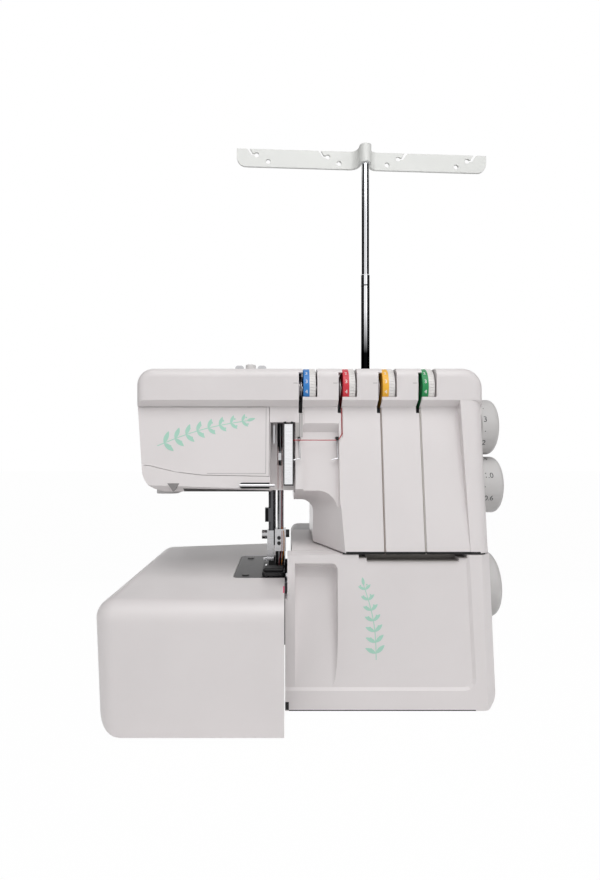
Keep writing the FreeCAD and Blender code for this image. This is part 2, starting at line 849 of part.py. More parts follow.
def needle_plate():
    """Plate, its screws, the free arm under it and the two feed dogs in its slots."""
    left, right = "-seam_gap - plate_len", "-seam_gap"
    back = "plate_front + plate_depth"
    low = "bed_z - plate_t"
    plate = box("plate_blank", left, right, "plate_front", back, low, "bed_z")
    plate = rounded("plate_round", plate, "plate_corner_r",
                    lambda p, d: runs(d, "z") and near(p.x, left))
    slots = []
    for front in ("diff_dog_front", "main_dog_front"):
        slots += dog_bars("plate_dog_slot", front, "dog_slot_side", "dog_slot_end", f"{low} - 1", "bed_z + 1")
    slots.append(box("plate_needle_slot", "needle_x - needle_slot_w / 2", "0",
                     "needle_y - needle_slot_d / 2", "needle_y + needle_slot_d / 2", f"{low} - 1",
                     "bed_z + 1"))
    screw_spots = [(f"{left} + plate_screw_in", y) for y in
                   ("plate_front + plate_screw_in", f"{back} - plate_screw_in")]
    holes = [rod("plate_hole", "z", x, y, f"{low} - 1", "bed_z + 1", "plate_screw_r") for x, y in screw_spots]
    node("needle_plate", cut("plate", plate, *slots, *holes))
    node("needle_plate_screws", group("plate_screws", [
        rod("plate_screw", "z", x, y, low, "bed_z + plate_screw_h", "plate_screw_r")
        for x, y in screw_spots]))

    arm_left = f"{left} - arm_left"
    foot = f"{low} - arm_h"
    arm = box("arm_block", arm_left, "base_left + skin", "arm_front", "arm_back", foot, low)
    hollow = box("arm_hollow", f"{arm_left} + arm_wall", "base_left + skin + 1", "arm_front + arm_wall",
                 "arm_back - arm_wall", f"{foot} + arm_wall", f"{low} - arm_wall")
    mouth = box("arm_mouth", f"{left} + plate_screw_in * 2", "base_left + skin + 1",
                "plate_front + arm_ledge",
                f"{back} - arm_ledge", f"{low} - arm_wall - 1", f"{low} + 1")
    node("free_arm", cut("arm", arm, hollow, mouth))

    for name, front in (("feed_dog_diff", "diff_dog_front"), ("feed_dog_main", "main_dog_front")):
        bars = dog_bars(name + "_bar", front, "0", "0", "bed_z - dog_h", "bed_z + dog_rise")
        web = box(name + "_web", "dog_left", "dog_left + dog_pitch + dog_w", front, f"{front} + dog_len",
                  "bed_z - dog_h - dog_web_t", "bed_z - dog_h")
        node(name, join(name + "_solid", *bars, web))


def side_at(z):
    """Where the leaning right side lies at a height."""
    return f"side_x + (side_top - side_x) * (({z}) - body_low) / (body_top - body_low)"


def body_block():
    """Column and head below the top band."""
    outline = prism("body_front_view", "xz", [
        ("head_left_low", "head_low"),
        ("column_left", "head_low"),
        ("column_left", "body_low"),
        ("side_x", "body_low"),
        (side_at("band_low"), "band_low"),
        ("head_left", "band_low"),
        ("head_left", "bevel_low"),
    ], "0", "body_back")
    profile = prism("body_side_view", "yz", [
        ("face_foot", "body_low"),
        ("face_head", "bevel_low"),
        ("face_head", "band_low"),
        ("body_back", "band_low"),
        ("body_back", "body_low"),
    ], "head_left - 1", "side_x + 1")
    block = meet("body_block", outline, profile)
    block = rounded("body_block_foot", block, "head_corner_r",
                    lambda p, d: runs(d, "y") and near(p.x, "head_left_low") and near(p.z, "head_low"))
    return rounded("body_block_side", block, "side_front_r",
                   lambda p, d: runs(d, "z") and p.x > num("side_top") and p.y < num("face_head"))


def band_block():
    """Top band with its rounded corners and the bevel under its front."""
    block = prism("band_view", "xz", [
        ("head_left", "bevel_low"),
        (side_at("bevel_low"), "bevel_low"),
        ("side_top", "body_top"),
        ("head_left", "body_top"),
    ], "band_front", "body_back")
    block = rounded("band_left", block, "top_left_r",
                    lambda p, d: runs(d, "y") and near(p.x, "head_left") and near(p.z, "body_top"))
    block = rounded("band_right", block, "top_right_r",
                    lambda p, d: runs(d, "y") and near(p.x, "side_top") and near(p.z, "body_top"))
    block = rounded("band_rim", block, "band_r",
                    lambda p, d: (near(p.y, "band_front") or near(p.y, "body_back"))
                    and p.z > num("bevel_low") + 1)
    ahead = 4
    bevel = prism("band_bevel", "yz", [
        (f"band_front - {ahead}", "bevel_low - 1"),
        ("face_head", "bevel_low - 1"),
        ("face_head", "bevel_low"),
        (f"band_front - {ahead}", f"band_low + {ahead} * (band_low - bevel_low) / (face_head - band_front)"),
    ], "head_left - 1", "side_x + 1")
    return cut("band_block", block, bevel)


def side_strip():
    """Raised strip down the right of the column, flush with the band at its head and the face at its foot."""
    outline = prism("strip_front_view", "xz", [
        ("strip_foot_x", "body_low"),
        ("side_x - hover", "body_low"),
        (side_at("band_low") + " - hover", "band_low + 1"),
        ("strip_head_x", "band_low + 1"),
    ], "0", "body_back")
    profile = prism("strip_side_view", "yz", [
        ("face_foot - hover", "body_low"),
        ("band_front + hover", "band_low + 1"),
        ("split_y", "band_low + 1"),
        ("split_y", "body_low"),
    ], "0", "side_x + 1")
    return rounded("strip_side", meet("strip_block", outline, profile), "side_front_r",
                   lambda p, d: runs(d, "z") and p.x > num("side_top") and p.y < num("face_head"))


def arch():
    """Space between column and bed, flared towards the front."""
    def outline(y):
        share = min(1, (num(y) - num("face_foot")) / (num("arch_back_y") - num("face_foot")))

        def between(front, back):
            return num(front) + (num(back) - num(front)) * share

        side = num("seam_x") + between("arch_side_front", "arch_side_back")
        top = between("arch_top_front", "arch_top_back")
        radius = between("arch_r_front", "arch_r_back")
        left = num(at_x("column_left - play"))
        low = num("body_low - floor_gap")
        depth = num(at_y(y))
        half = radius * 0.5 ** 0.5
        bend_x, bend_z = side - radius, top - radius
        flat = [Vector(bend_x, depth, top), Vector(left, depth, top), Vector(left, depth, low),
                Vector(side, depth, low), Vector(side, depth, bend_z)]
        bend = Part.Arc(flat[-1], Vector(bend_x + half, depth, bend_z + half), flat[0])
        sides = [Part.makeLine(a, b) for a, b in zip(flat, flat[1:])]
        return Part.Wire(sides + [bend.toShape()])

    wires = [outline(y) for y in ("0", "arch_back_y", "body_back + floor_gap")]
    return shaped("arch", Part.makeLoft(wires, True, True))


def chin():
    """Sloping lower front edge of the head, higher at the left, and the notch beside the lifter."""
    def outline(x, rise):
        ahead = 5
        front = face_y("head_low")
        over = f"({rise}) * (1 + {ahead} / chin_run)"
        corners = [spot(x, f"{front} - {ahead}", f"head_low + {over}"), spot(x, f"{front} + chin_run",
                                                                             "head_low"),
                   spot(x, f"{front} + chin_run", "head_low - 1"), spot(x, f"{front} - {ahead}",
                                                                        "head_low - 1")]
        return Part.makePolygon(corners + corners[:1])

    wires = [outline("head_left - 1", "chin_rise"), outline("recess_left", "chin_low")]
    slope = shaped("chin_slope", Part.makeLoft(wires, True, True))
    notch = prism("chin_notch", "xz", [
        ("chin_notch_x", "head_low - 1"),
        ("chin_notch_x - chin_notch_w / 2", "head_low + chin_notch_h"),
        ("chin_notch_x + chin_notch_w / 2", "head_low + chin_notch_h"),
    ], "0", f"{face_y('head_low')} + chin_run / 2")
    return group("chin_tools", [slope, notch])


def hollows():
    """Inside of the column, of the head and of the stretch between them."""
    roof = "body_top - skin"
    sink = "face_sink"
    head_floor = "head_low + skin"
    column = prism("column_hollow_form", "yz", [
        (face_y("body_low - 1", sink), "body_low - 1"),
        (face_y("bevel_low - 2", sink), "bevel_low - 2"),
        ("face_head + skin", roof),
        ("cavity_back", roof),
        ("cavity_back", "body_low - 1"),
    ], "column_hollow", "cavity_right")
    head = prism("head_hollow_form", "yz", [
        (face_y(head_floor, f"{sink} + 2 * chin_run"), head_floor),
        (face_y(f"{head_floor} + 2 * chin_rise", sink), f"{head_floor} + 2 * chin_rise"),
        (face_y("bevel_low - 2", sink), "bevel_low - 2"),
        ("face_head + skin", roof),
        ("cavity_back", roof),
        ("cavity_back", head_floor),
    ], "cavity_left", "head_hollow")
    head = rounded("head_hollow_round", head, "head_corner_r - skin",
                   lambda p, d: runs(d, "y") and near(p.x, "cavity_left") and near(p.z, head_floor))
    middle = box("middle_hollow_form", "head_hollow - 1", "column_hollow + 1", "recess_back + skin",
                 "cavity_back", "arch_top_front + 4 * skin", roof)
    band = box("band_hollow_form", "head_hollow - 1", "column_hollow + 1", "face_head + skin",
               "recess_back + skin + 1", "bevel_low + skin", roof)
    return [column, head, middle, band]


def dial_x(i):
    return f"dial_first + {i} * dial_pitch"


def face_groove(name, x, width, deep, low):
    """Upright groove in the sloping front, from a height up to the bevel."""
    high = "bevel_low - play"
    return prism(name, "yz", [
        (face_y(low, "-2"), low),
        (face_y(low, deep), low),
        (face_y(high, deep), high),
        (face_y(high, "-2"), high),
    ], f"{x} - {width} / 2", f"{x} + {width} / 2")


def thread_ways():
    """Windows and pockets of the tension dials, thread slots and the grooves below them."""
    windows, pockets, slots, grooves = [], [], [], []
    for i in range(4):
        left = dial_x(i)
        right = f"{left} + dial_w"
        slot = f"{left} - slot_off"
        groove = f"{left} - groove_off"
        windows.append(box("dial_window", f"{left} - window_side", f"{right} + window_gap", "band_front - 1",
                           "window_back", "window_low", "body_top + 1"))
        pockets.append(rod("dial_pocket", "x", "dial_y", "dial_z", f"{left} - window_side",
                           f"{right} + window_gap", "dial_r + window_side"))
        slots.append(box("thread_slot", f"{slot} - slot_w / 2", f"{slot} + slot_w / 2", "band_front - 1",
                         "dial_y + disc_r + 1", "slot_low", "slot_high"))
        low = "groove_short" if i < 2 else "body_low - 1"
        width = "groove_w" if i else "slot_w"
        grooves.append(face_groove("thread_groove", groove, width, "groove_deep", low))
    return [group("dial_ways", tools) for tools in (windows, pockets, slots, grooves)]


def body_ways():
    """Recess of the needle bar, guide zone, and the openings for shafts and levers."""
    recess = box("needle_recess", "recess_left", "recess_right", "0", "recess_back", "head_low - 1",
                 "recess_top")
    foot = "arch_top_front - arch_r_front"
    zone = prism("guide_zone", "yz", [
        ("0", foot),
        (face_y(foot, "zone_sink"), foot),
        (face_y("zone_bevel_low", "zone_sink"), "zone_bevel_low"),
        (face_y("zone_bevel_top"), "zone_bevel_top"),
        ("0", "zone_bevel_top"),
    ], "zone_left", "zone_right")
    bars = box("bar_way", "presser_x - guide_side - play", "needle_x + guide_side + play",
               "needle_y - guide_ahead - play", "beam_back + play", "head_low - 1",
               "arch_top_front + 4 * skin + 1")
    take_up = box("take_up_way", "needle_x - take_up_t", "needle_x + take_up_t", "recess_back - 1",
                  "recess_back + skin + 1", "rocker_z - rocker_drop - collar_h", "recess_top")
    lever_left = "lifter_left - 3 * play"
    lever_right = "lifter_left + lifter_w + 3 * play"
    lever = box("lifter_way", lever_left, lever_right, "lifter_front - lifter_w", "body_back + 1",
                "head_low - 1", "head_low + 2 * skin + 1")
    lever_back = box("lifter_back_way", lever_left, lever_right, "lifter_y + guide_t", "body_back + 1",
                     "head_low - 1", "lifter_slot_top")
    hooks = [rod("hook_hole", "y", x, "hook_z", "face_foot", "recess_back", "hook_hole_r")
             for x in ("hook_first", "hook_second")]
    stems = [rod("stem_way", "x", "knob_y", z, "cavity_right - 1", "side_x + 1", "knob_stem_r + run_fit")
             for z in ("stitch_z", "diff_z")]
    knob = rod("press_way", "z", "press_x", "press_y", "body_top - skin - 1", "body_top + 1",
               "press_stem_r + run_fit")
    lamp = rod("lamp_way", "z", "lamp_x", "lamp_y", "head_low - 1", "head_low + skin + 1", "lamp_r")
    return [group("main_ways", [recess, zone, bars, lever, *stems, knob, lamp]),
            group("small_ways", [take_up, lever_back, *hooks])]


def face_region(name, grow):
    """Space of the face cover at the left front of the head."""
    return prism(name, "xz", [
        ("head_left - 5", f"face_seam_left - {grow}"),
        ("cavity_left", f"face_seam_left - {grow}"),
        ("(cavity_left + face_mid_x) / 2", f"(face_seam_left + 2 * face_seam_mid) / 3 - {grow}"),
        ("face_mid_x", f"face_seam_mid - {grow}"),
        (f"face_right + {grow}", f"face_seam_right - {grow}"),
        (f"face_right + {grow}", f"bevel_low - play + {grow}"),
        ("head_left - 5", f"bevel_low - play + {grow}"),
    ], "0", f"face_back + {grow}")


def upper_body():
    """Front housing, rear housing and face cover, split from one form."""
    form = join("body_form", body_block(), band_block(), side_strip())
    shell = cut("body_open", form, arch(), chin())
    for tool in hollows() + thread_ways() + body_ways():
        shell = cut("body_shell", shell, tool)
    left, right = "head_left - 1", "side_x + 1"
    low, high = "body_low - 1", "body_top + 1"
    front_half = box("front_half", left, right, "0", "split_y - play / 2", low, high)
    rear_half = box("rear_half", left, right, "split_y + play / 2", "body_back + 1", low, high)
    front = meet("front_shell", shell, front_half)
    node("front_housing", cut("front_body", front, face_region("face_gap", "play")))
    node("rear_housing", meet("rear_body", shell, rear_half))
    node("face_cover", meet("face_shell", front, face_region("face_space", "0")))
    node("lamp", rod("lamp_lens", "z", "lamp_x", "lamp_y", "head_low - skin / 2", "head_low + lamp_t",
                     "lamp_r"))
    screws = [rod("casing_screw", "y", x, z, "body_back", "body_back + screw_h", "screw_r")
              for x, z in (("cavity_left + foot_in_x", "band_low"), ("cavity_right", "band_low"),
                           ("cavity_right", "body_low + foot_in_y"), ("column_hollow",
                                                                      "body_low + foot_in_y"))]
    node("casing_screws", group("casing_screw_set", screws))


def frame():
    """Cast frame: floor, two side plates, looper wall, beam and bar guides."""
    floor_low = "floor_gap + floor_t"
    floor_top = f"{floor_low} + frame_floor_t"
    right = "frame_right + frame_t"
    beam_left = "needle_x + collar_w / 2 + rocker_w + 2 * play"
    lug_low, lug_high = "side_top - guide_t", "side_top"
    parts = [
        box("frame_floor", "looper_wall_left", right, "frame_front", "frame_back", floor_low, floor_top),
        box("frame_left_plate", "frame_left", "frame_left + frame_t", "frame_front", "frame_back",
            floor_low, "beam_low + 1"),
        box("frame_right_plate", "frame_right", right, "frame_front", "frame_back", floor_low,
            "beam_low + 1"),
        box("frame_beam", beam_left, right, "beam_front", "beam_back", "beam_low", "beam_high"),
        box("frame_back_plate", "lifter_right - lug_w", f"{beam_left} + 1", "beam_back - guide_t",
            "beam_back", "guide_low + guide_t - 1", "beam_high"),
        box("frame_rear_lug", "frame_left", right, "beam_back - 1", "cavity_back", "beam_low + guide_t",
            "beam_low + 2 * guide_t"),
        box("frame_lug", "lifter_right - lug_w", "lifter_right", "lifter_y - guide_side", "beam_back",
            "guide_low", "guide_low + guide_t"),
        box("frame_looper_wall", "looper_wall_left", "frame_left + 1", "looper_wall_y",
            "looper_wall_y + looper_wall_t", floor_low, "knife_pivot_z + guide_ahead"),
        box("frame_arm_flange", "base_left + skin", "looper_wall_left + 1", "looper_wall_y",
            "arm_back - arm_wall", floor_low, "bed_z - plate_t"),
    ]
    for left in ("frame_left", "frame_right"):
        parts.append(prism("frame_front_lug", "yz", [
            (face_y(lug_low, "face_sink"), lug_low),
            ("frame_front + 1", lug_low),
            ("frame_front + 1", lug_high),
            (face_y(lug_high, "face_sink"), lug_high),
        ], left, f"{left} + frame_t"))
    for low in ("guide_low", "guide_high"):
        parts.append(box("frame_bar_guide", "presser_x - guide_side", "needle_x + guide_side",
                         "needle_y - guide_ahead", "beam_back", low, f"{low} + guide_t"))
    holes = [
        rod("frame_shaft_hole", "x", "wheel_y", "wheel_z", "frame_left - 1", f"{right} + 1",
            "shaft_r + run_fit"),
        rod("frame_motor_hole", "x", "motor_y", "motor_z", "frame_right - 1", f"{right} + 1",
            "motor_shaft_r + run_fit"),
        rod("frame_rocker_hole", "x", "rocker_y", "rocker_z", "needle_x", "frame_right - frame_t",
            "rocker_r + run_fit"),
        rod("frame_lifter_hole", "x", "lifter_y", "lifter_z", "lifter_right - lug_w - 1", "lifter_right + 1",
            "lifter_r + run_fit"),
        rod("frame_needle_hole", "z", "needle_x", "needle_y", "guide_low - 1", "beam_high",
            "needle_bar_r + run_fit"),
        rod("frame_presser_hole", "z", "presser_x", "presser_y", "guide_low - 1", "beam_high",
            "presser_r + run_fit"),
    ]
    for x, z in (("upper_looper_x", "upper_looper_z"), ("lower_looper_x", "lower_looper_z"),
                 ("knife_pivot_x", "knife_pivot_z")):
        holes.append(rod("frame_looper_hole", "y", x, z, "looper_wall_y - 1",
                         "looper_wall_y + looper_wall_t + 1",
                         "looper_shaft_r + run_fit"))
    node("machine_frame", cut("frame_cast", join("frame_solid", *parts), *holes))


def drive():
    """Main shaft with handwheel and pulley; motor with its pulley; the belt."""
    node("main_shaft", rod("shaft", "x", "wheel_y", "wheel_z", "shaft_left", "wheel_out - wheel_edge",
                           "shaft_r"))
    bore = rod("wheel_bore", "x", "wheel_y", "wheel_z", "shaft_left", "wheel_out - wheel_edge", "shaft_r")
    wheel = rod("wheel_blank", "x", "wheel_y", "wheel_z", "wheel_in", "wheel_out", "wheel_r")
    wheel = rounded("wheel_round", wheel, "wheel_edge", lambda p, d: near(p.x, "wheel_out"))
    node("handwheel", cut("wheel", wheel, bore))
    pulley_right = "pulley_x + pulley_w"
    pulley = rod("pulley_blank", "x", "wheel_y", "wheel_z", "pulley_x", pulley_right, "pulley_r")
    node("main_pulley", cut("pulley", pulley, bore))

    node("motor", rod("motor_can", "x", "motor_y", "motor_z", "motor_left", "frame_right", "motor_r"))
    stub = rod("motor_shaft", "x", "motor_y", "motor_z", "frame_right + play", pulley_right, "motor_shaft_r")
    small = rod("motor_wheel", "x", "motor_y", "motor_z", "pulley_x", pulley_right, "motor_pulley_r")
    node("motor_pulley", join("motor_rotor", stub, small))
    node("drive_belt", shaped("belt", belt_form()))


def belt_form():
    """Flat belt round both pulleys, a running gap off each."""
    start = num(at_x("pulley_x + (pulley_w - belt_w) / 2"))
    big, small = [Vector(start, num(at_y(y)), num(z))
                  for y, z in (("wheel_y", "wheel_z"), ("motor_y", "motor_z"))]
    reach = small - big
    lean = reach / reach.Length
    across = Vector(0, -lean.z, lean.y)

    def loop(grow):
        large = num("pulley_r + hover") + grow
        little = num("motor_pulley_r + hover") + grow
        sine = (large - little) / reach.Length
        cosine = (1 - sine * sine) ** 0.5
        up = lean * sine + across * cosine
        down = lean * sine - across * cosine
        far_big, far_small = big - lean * large, small + lean * little
        sides = [
            Part.makeLine(big + up * large, small + up * little),
            Part.Arc(small + up * little, far_small, small + down * little).toShape(),
            Part.makeLine(small + down * little, big + down * large),
            Part.Arc(big + down * large, far_big, big + up * large).toShape(),
        ]
        return Part.Face(Part.Wire(sides)).extrude(Vector(num("belt_w"), 0, 0))

    return loop(num("belt_t")).cut(loop(0))


def needle_bar():
    """Needle bar with collar, take-up lever, clamp, screws and needles, and the rocker that drives it."""
    collar_mid = "rocker_z - rocker_drop"
    clamp_low = "bed_z + clamp_low"
    clamp_top = f"{clamp_low} + clamp_h"
    bar_low = f"{clamp_low} + clamp_h / 3"
    bar = rod("needle_bar_rod", "z", "needle_x", "needle_y", bar_low, "needle_bar_top", "needle_bar_r")
    collar = box("needle_collar", "needle_x - collar_w / 2", "needle_x + collar_w / 2",
                 "needle_y - collar_w / 2", "needle_y + collar_w / 2",
                 f"{collar_mid} - collar_h / 2", f"{collar_mid} + collar_h / 2")
    node("needle_bar", join("needle_bar_solid", bar, collar))
    lever_low = f"{collar_mid} - take_up_h / 2"
    lever = box("take_up_arm", "needle_x - take_up_t / 2", "needle_x + take_up_t / 2", "take_up_front",
                "needle_y - collar_w / 2", lever_low, f"{lever_low} + take_up_h")
    eye = rod("take_up_eye", "x", "take_up_front + take_up_h / 2", collar_mid, "needle_x - take_up_t",
              "needle_x + take_up_t", "take_up_h / 5")
    node("take_up_lever", cut("take_up", lever, eye))

    clamp = box("clamp_block", "needle_x - clamp_w / 2", "needle_x + clamp_w / 2", "needle_y - clamp_d / 2",
                "needle_y + clamp_d / 2", clamp_low, clamp_top)
    socket = rod("clamp_socket", "z", "needle_x", "needle_y", bar_low, f"{clamp_top} + 1", "needle_bar_r")
    needles = []
    for side in (-1, 1):
        x = f"needle_x + {side} * needle_apart / 2"
        needles.append(rod("needle", "z", x, "needle_y", "bed_z - needle_tip", bar_low, "needle_r"))
    node("needle_clamp", cut("clamp", clamp, socket, *needles))
    node("needles", group("needle_pair", needles))
    thumb = rod("clamp_thumb_screw", "x", "needle_y", f"{clamp_top} - clamp_screw_r - 1",
                "needle_x + clamp_w / 2", "needle_x + clamp_w / 2 + clamp_screw_len", "clamp_screw_r")
    sets = [rod("clamp_set_screw", "y", "needle_x - needle_apart / 2", f"{clamp_low} + clamp_h * {share}",
                "needle_y - clamp_d / 2 - set_screw_h", "needle_y - clamp_d / 2", "set_screw_r")
            for share in (0.6, 0.36)]
    node("clamp_screws", group("clamp_screw_set", [thumb, *sets]))

    left = "needle_x + collar_w / 2 + play"
    shaft = rod("rocker_shaft", "x", "rocker_y", "rocker_z", left, "frame_right - frame_t - play", "rocker_r")
    half = "rocker_h / 2"
    arm = prism("rocker_arm", "yz", [
        (f"rocker_y + {half}", f"rocker_z + {half}"),
        (f"rocker_y + {half}", f"rocker_z - {half}"),
        ("needle_y + rocker_short", f"{collar_mid} - {half}"),
        ("needle_y + rocker_short", f"{collar_mid} + {half}"),
    ], left, f"{left} + rocker_w")
    node("needle_rocker", join("rocker", shaft, arm))


def presser():
    """Presser bar, foot holder, foot, lifter lever and pressure knob."""
    holder_low = "bed_z + holder_low"
    bar = rod("presser_rod", "z", "presser_x", "presser_y", f"{holder_low} + holder_low", "presser_top",
              "presser_r")
    cam_left = "presser_x - guide_side - play - cam_w"
    stop = box("presser_stop", cam_left, "presser_x", "presser_y - presser_r", "stop_back",
               "stop_z", "stop_z + stop_h")
    guide = box("presser_guide", "presser_x - presser_r - guide_block_w", "presser_x",
                "presser_y - presser_r",
                "presser_y + presser_r", "guide_block_low", "guide_block_high")
    node("presser_bar", join("presser_bar_solid", bar, stop, guide))
    holder = box("holder_block", "presser_x - holder_left", "presser_x + holder_right",
                 "presser_y - holder_ahead", "presser_y + holder_behind", holder_low,
                 f"{holder_low} + holder_h")
    screw = rod("holder_thumb_screw", "x", "presser_y", f"{holder_low} + holder_h - holder_screw_r",
                "presser_x - holder_left - holder_screw_len", "presser_x - presser_r", "holder_screw_r")
    node("foot_holder", cut("holder", join("holder_solid", holder, screw), bar))
    sole_low = "bed_z + sole_lift"
    sole = box("sole", "sole_left", "sole_right", "sole_front", "sole_back", sole_low, f"{sole_low} + sole_t")
    sole = rounded("sole_toe", sole, "toe_r", lambda p, d: runs(d, "z") and near(p.y, "sole_front"))
    ankle = box("ankle", "presser_x - ankle_w / 2", "presser_x + ankle_w / 2", "presser_y - holder_ahead",
                "presser_y + holder_ahead", f"{sole_low} + sole_t", holder_low)
    slot = box("sole_slot", "needle_x - needle_slot_w / 2", "sole_right + 1", "needle_y - needle_slot_d / 2",
               "needle_y + needle_slot_d / 2", "bed_z", "bed_z + sole_lift + sole_t + 1")
    node("presser_foot", cut("foot", join("foot_solid", sole, ankle), slot))

    lifter_right = "lifter_left + lifter_w"
    web_left = f"{lifter_right} - lifter_web"
    shaft = rod("lifter_shaft", "x", "lifter_y", "lifter_z", web_left, f"{cam_left} + cam_w", "lifter_r")
    paddle = box("lifter_paddle", "lifter_left", lifter_right, "lifter_front", "lifter_back",
                 "lifter_low", "lifter_low + lifter_t")
    paddle = rounded("lifter_paddle_round", paddle, "lifter_w / 3", lambda p, d: runs(d, "z"))
    hub = box("lifter_hub", web_left, lifter_right, "lifter_y - lifter_w / 2", "lifter_y + lifter_w / 2",
              "lifter_low", "lifter_z + lifter_r")
    cam = box("lifter_cam", cam_left, f"{cam_left} + cam_w", "lifter_y - lifter_r", "lifter_y + cam_back",
              "lifter_z - lifter_r + 1", "stop_z - play")
    node("lifter_lever", join("lifter", shaft, paddle, hub, cam))

    knob = rod("press_cap", "z", "press_x", "press_y", "body_top + hover", "body_top + press_h", "press_r")
    knob = rounded("press_cap_round", knob, "press_r / 3", lambda p, d: near(p.z, "body_top + press_h"))
    stem = rod("press_stem", "z", "press_x", "press_y", "press_low", "body_top + hover", "press_stem_r")
    node("pressure_knob", join("press_knob", knob, stem))
    tabs = []
    for side in (-1, 1):
        x = f"press_x + {side} * tab_off"
        plate = box("guide_tab", f"{x} - tab_w / 2", f"{x} + tab_w / 2", "press_y", "press_y + tab_t",
                    "body_top", "body_top + tab_h")
        plate = rounded("guide_tab_round", plate, "tab_w / 3",
                        lambda p, d: runs(d, "y") and near(p.z, "body_top + tab_h"))
        hole = rod("guide_tab_hole", "y", x, "body_top + tab_h / 2", "press_y - 1", "press_y + tab_t + 1",
                   "tab_hole_r")
        tabs.append(cut("guide_tab_plate", plate, hole))
    return tabs


def swing_arm(name, pivot, points, front, thick):
    """A flat arm with its shaft along Y, drawn in the front view."""
    shaft = rod(name + "_shaft", "y", pivot[0], pivot[1], front, "looper_wall_y + looper_wall_t + skin",
                "looper_shaft_r")
    arm = prism(name + "_arm", "xz", points, front, f"{front} + {thick}")
    return join(name + "_solid", shaft, arm)


def cutting():
    """Two loopers and two knives."""
    x, z = "upper_looper_x", "upper_looper_z"
    half = "looper_shaft_r"
    node("upper_looper", swing_arm("upper_looper", (x, z), [
        (f"{x} + {half}", f"{z} - {half}"),
        (f"{x} + {half}", f"{z} + {half}"),
        (f"{x} - upper_neck_in", "bed_z + upper_neck_h"),
        ("base_left - upper_tip_in", "bed_z + upper_tip_h"),
        ("base_left - upper_tip_in - tip_t / 2", "bed_z + upper_tip_h - tip_t"),
        (f"{x} - upper_neck_in - upper_neck_w", "bed_z - 2 * upper_neck_h"),
        (f"{x} - {half}", f"{z} - {half}"),
    ], "looper_front", "looper_t"))
    x, z = "lower_looper_x", "lower_looper_z"
    node("lower_looper", swing_arm("lower_looper", (x, z), [
        (f"{x} + {half}", f"{z} - {half}"),
        (f"{x} + {half}", f"{z} + {half}"),
        (f"{x} - lower_neck_in", f"{z} + lower_neck_h"),
        (f"{x} - lower_tip_in", f"{z} + lower_tip_h"),
        (f"{x} - lower_tip_in", f"{z} + lower_tip_h - tip_t"),
        (f"{x} - lower_neck_in - lower_neck_w", f"{z} + lower_neck_h - 2 * tip_t"),
        (f"{x} - {half}", f"{z} - {half}"),
    ], "looper_front + looper_t + looper_apart", "looper_t"))
    x, z = "knife_pivot_x", "knife_pivot_z"
    blade_left = "knife_t / 2 + hover"
    node("upper_knife", swing_arm("upper_knife", (x, z), [
        (f"{x} + {half}", f"{z} - {half}"),
        (f"{x} + {half}", f"{z} + {half}"),
        (blade_left, "bed_z + knife_w"),
        (blade_left, "bed_z - hover"),
        (f"{x} - {half}", f"{z} - {half}"),
    ], "knife_y", "knife_t"))
    blade = box("lower_blade", "-knife_t / 2", "knife_t / 2", "knife_y - knife_w", "knife_y + knife_t",
                "bed_z - arm_h / 2", "bed_z")
    holder = box("lower_knife_holder", "-knife_t / 2", "base_left", "arm_front + arm_wall",
                 "knife_y - knife_w / 2",
                 "bed_z - arm_h / 2 - knife_w", "bed_z - arm_h / 2")
    node("lower_knife", join("lower_knife_solid", blade, holder))


def tension():
    """Four dials on one rod, with their discs and the plates that carry the rod."""
    last = f"{dial_x(3)} + dial_w"
    rail = rod("tension_rail", "x", "dial_y", "dial_z", "dial_first - 3 * slot_off",
               f"{last} + 2 * bracket_t + window_gap", "rod_r")
    node("tension_rod", rail)
    bore = rod("dial_bore", "x", "dial_y", "dial_z", "0", f"{last} + dial_w", "rod_r + run_fit")
    discs = []
    plates = []
    for i in range(4):
        left = dial_x(i)
        wheel = rod("dial_blank", "x", "dial_y", "dial_z", left, f"{left} + dial_w", "dial_r")
        wheel = rounded("dial_round", wheel, "dial_edge", lambda p, d: True)
        node(f"tension_dial_{i + 1}", cut("dial", wheel, bore))
        for side in (-1, 1):
            middle = f"{left} - slot_off + {side} * (disc_gap + disc_t) / 2"
            disc = rod("disc_blank", "x", "dial_y", "dial_z", f"{middle} - disc_t / 2",
                       f"{middle} + disc_t / 2",
                       "disc_r")
            discs.append(cut("disc", disc, rail))
        start = f"{left} + dial_w + bracket_t"
        plate = box("bracket_blank", start, f"{start} + bracket_t", "dial_y - rod_r - bracket_t / 2",
                    "beam_front",
                    "dial_z - bracket_z", "dial_z + bracket_z")
        plates.append(cut("bracket_plate", plate, rail))
    node("tension_discs", group("disc_set", discs))
    node("tension_bracket", group("bracket_set", plates))


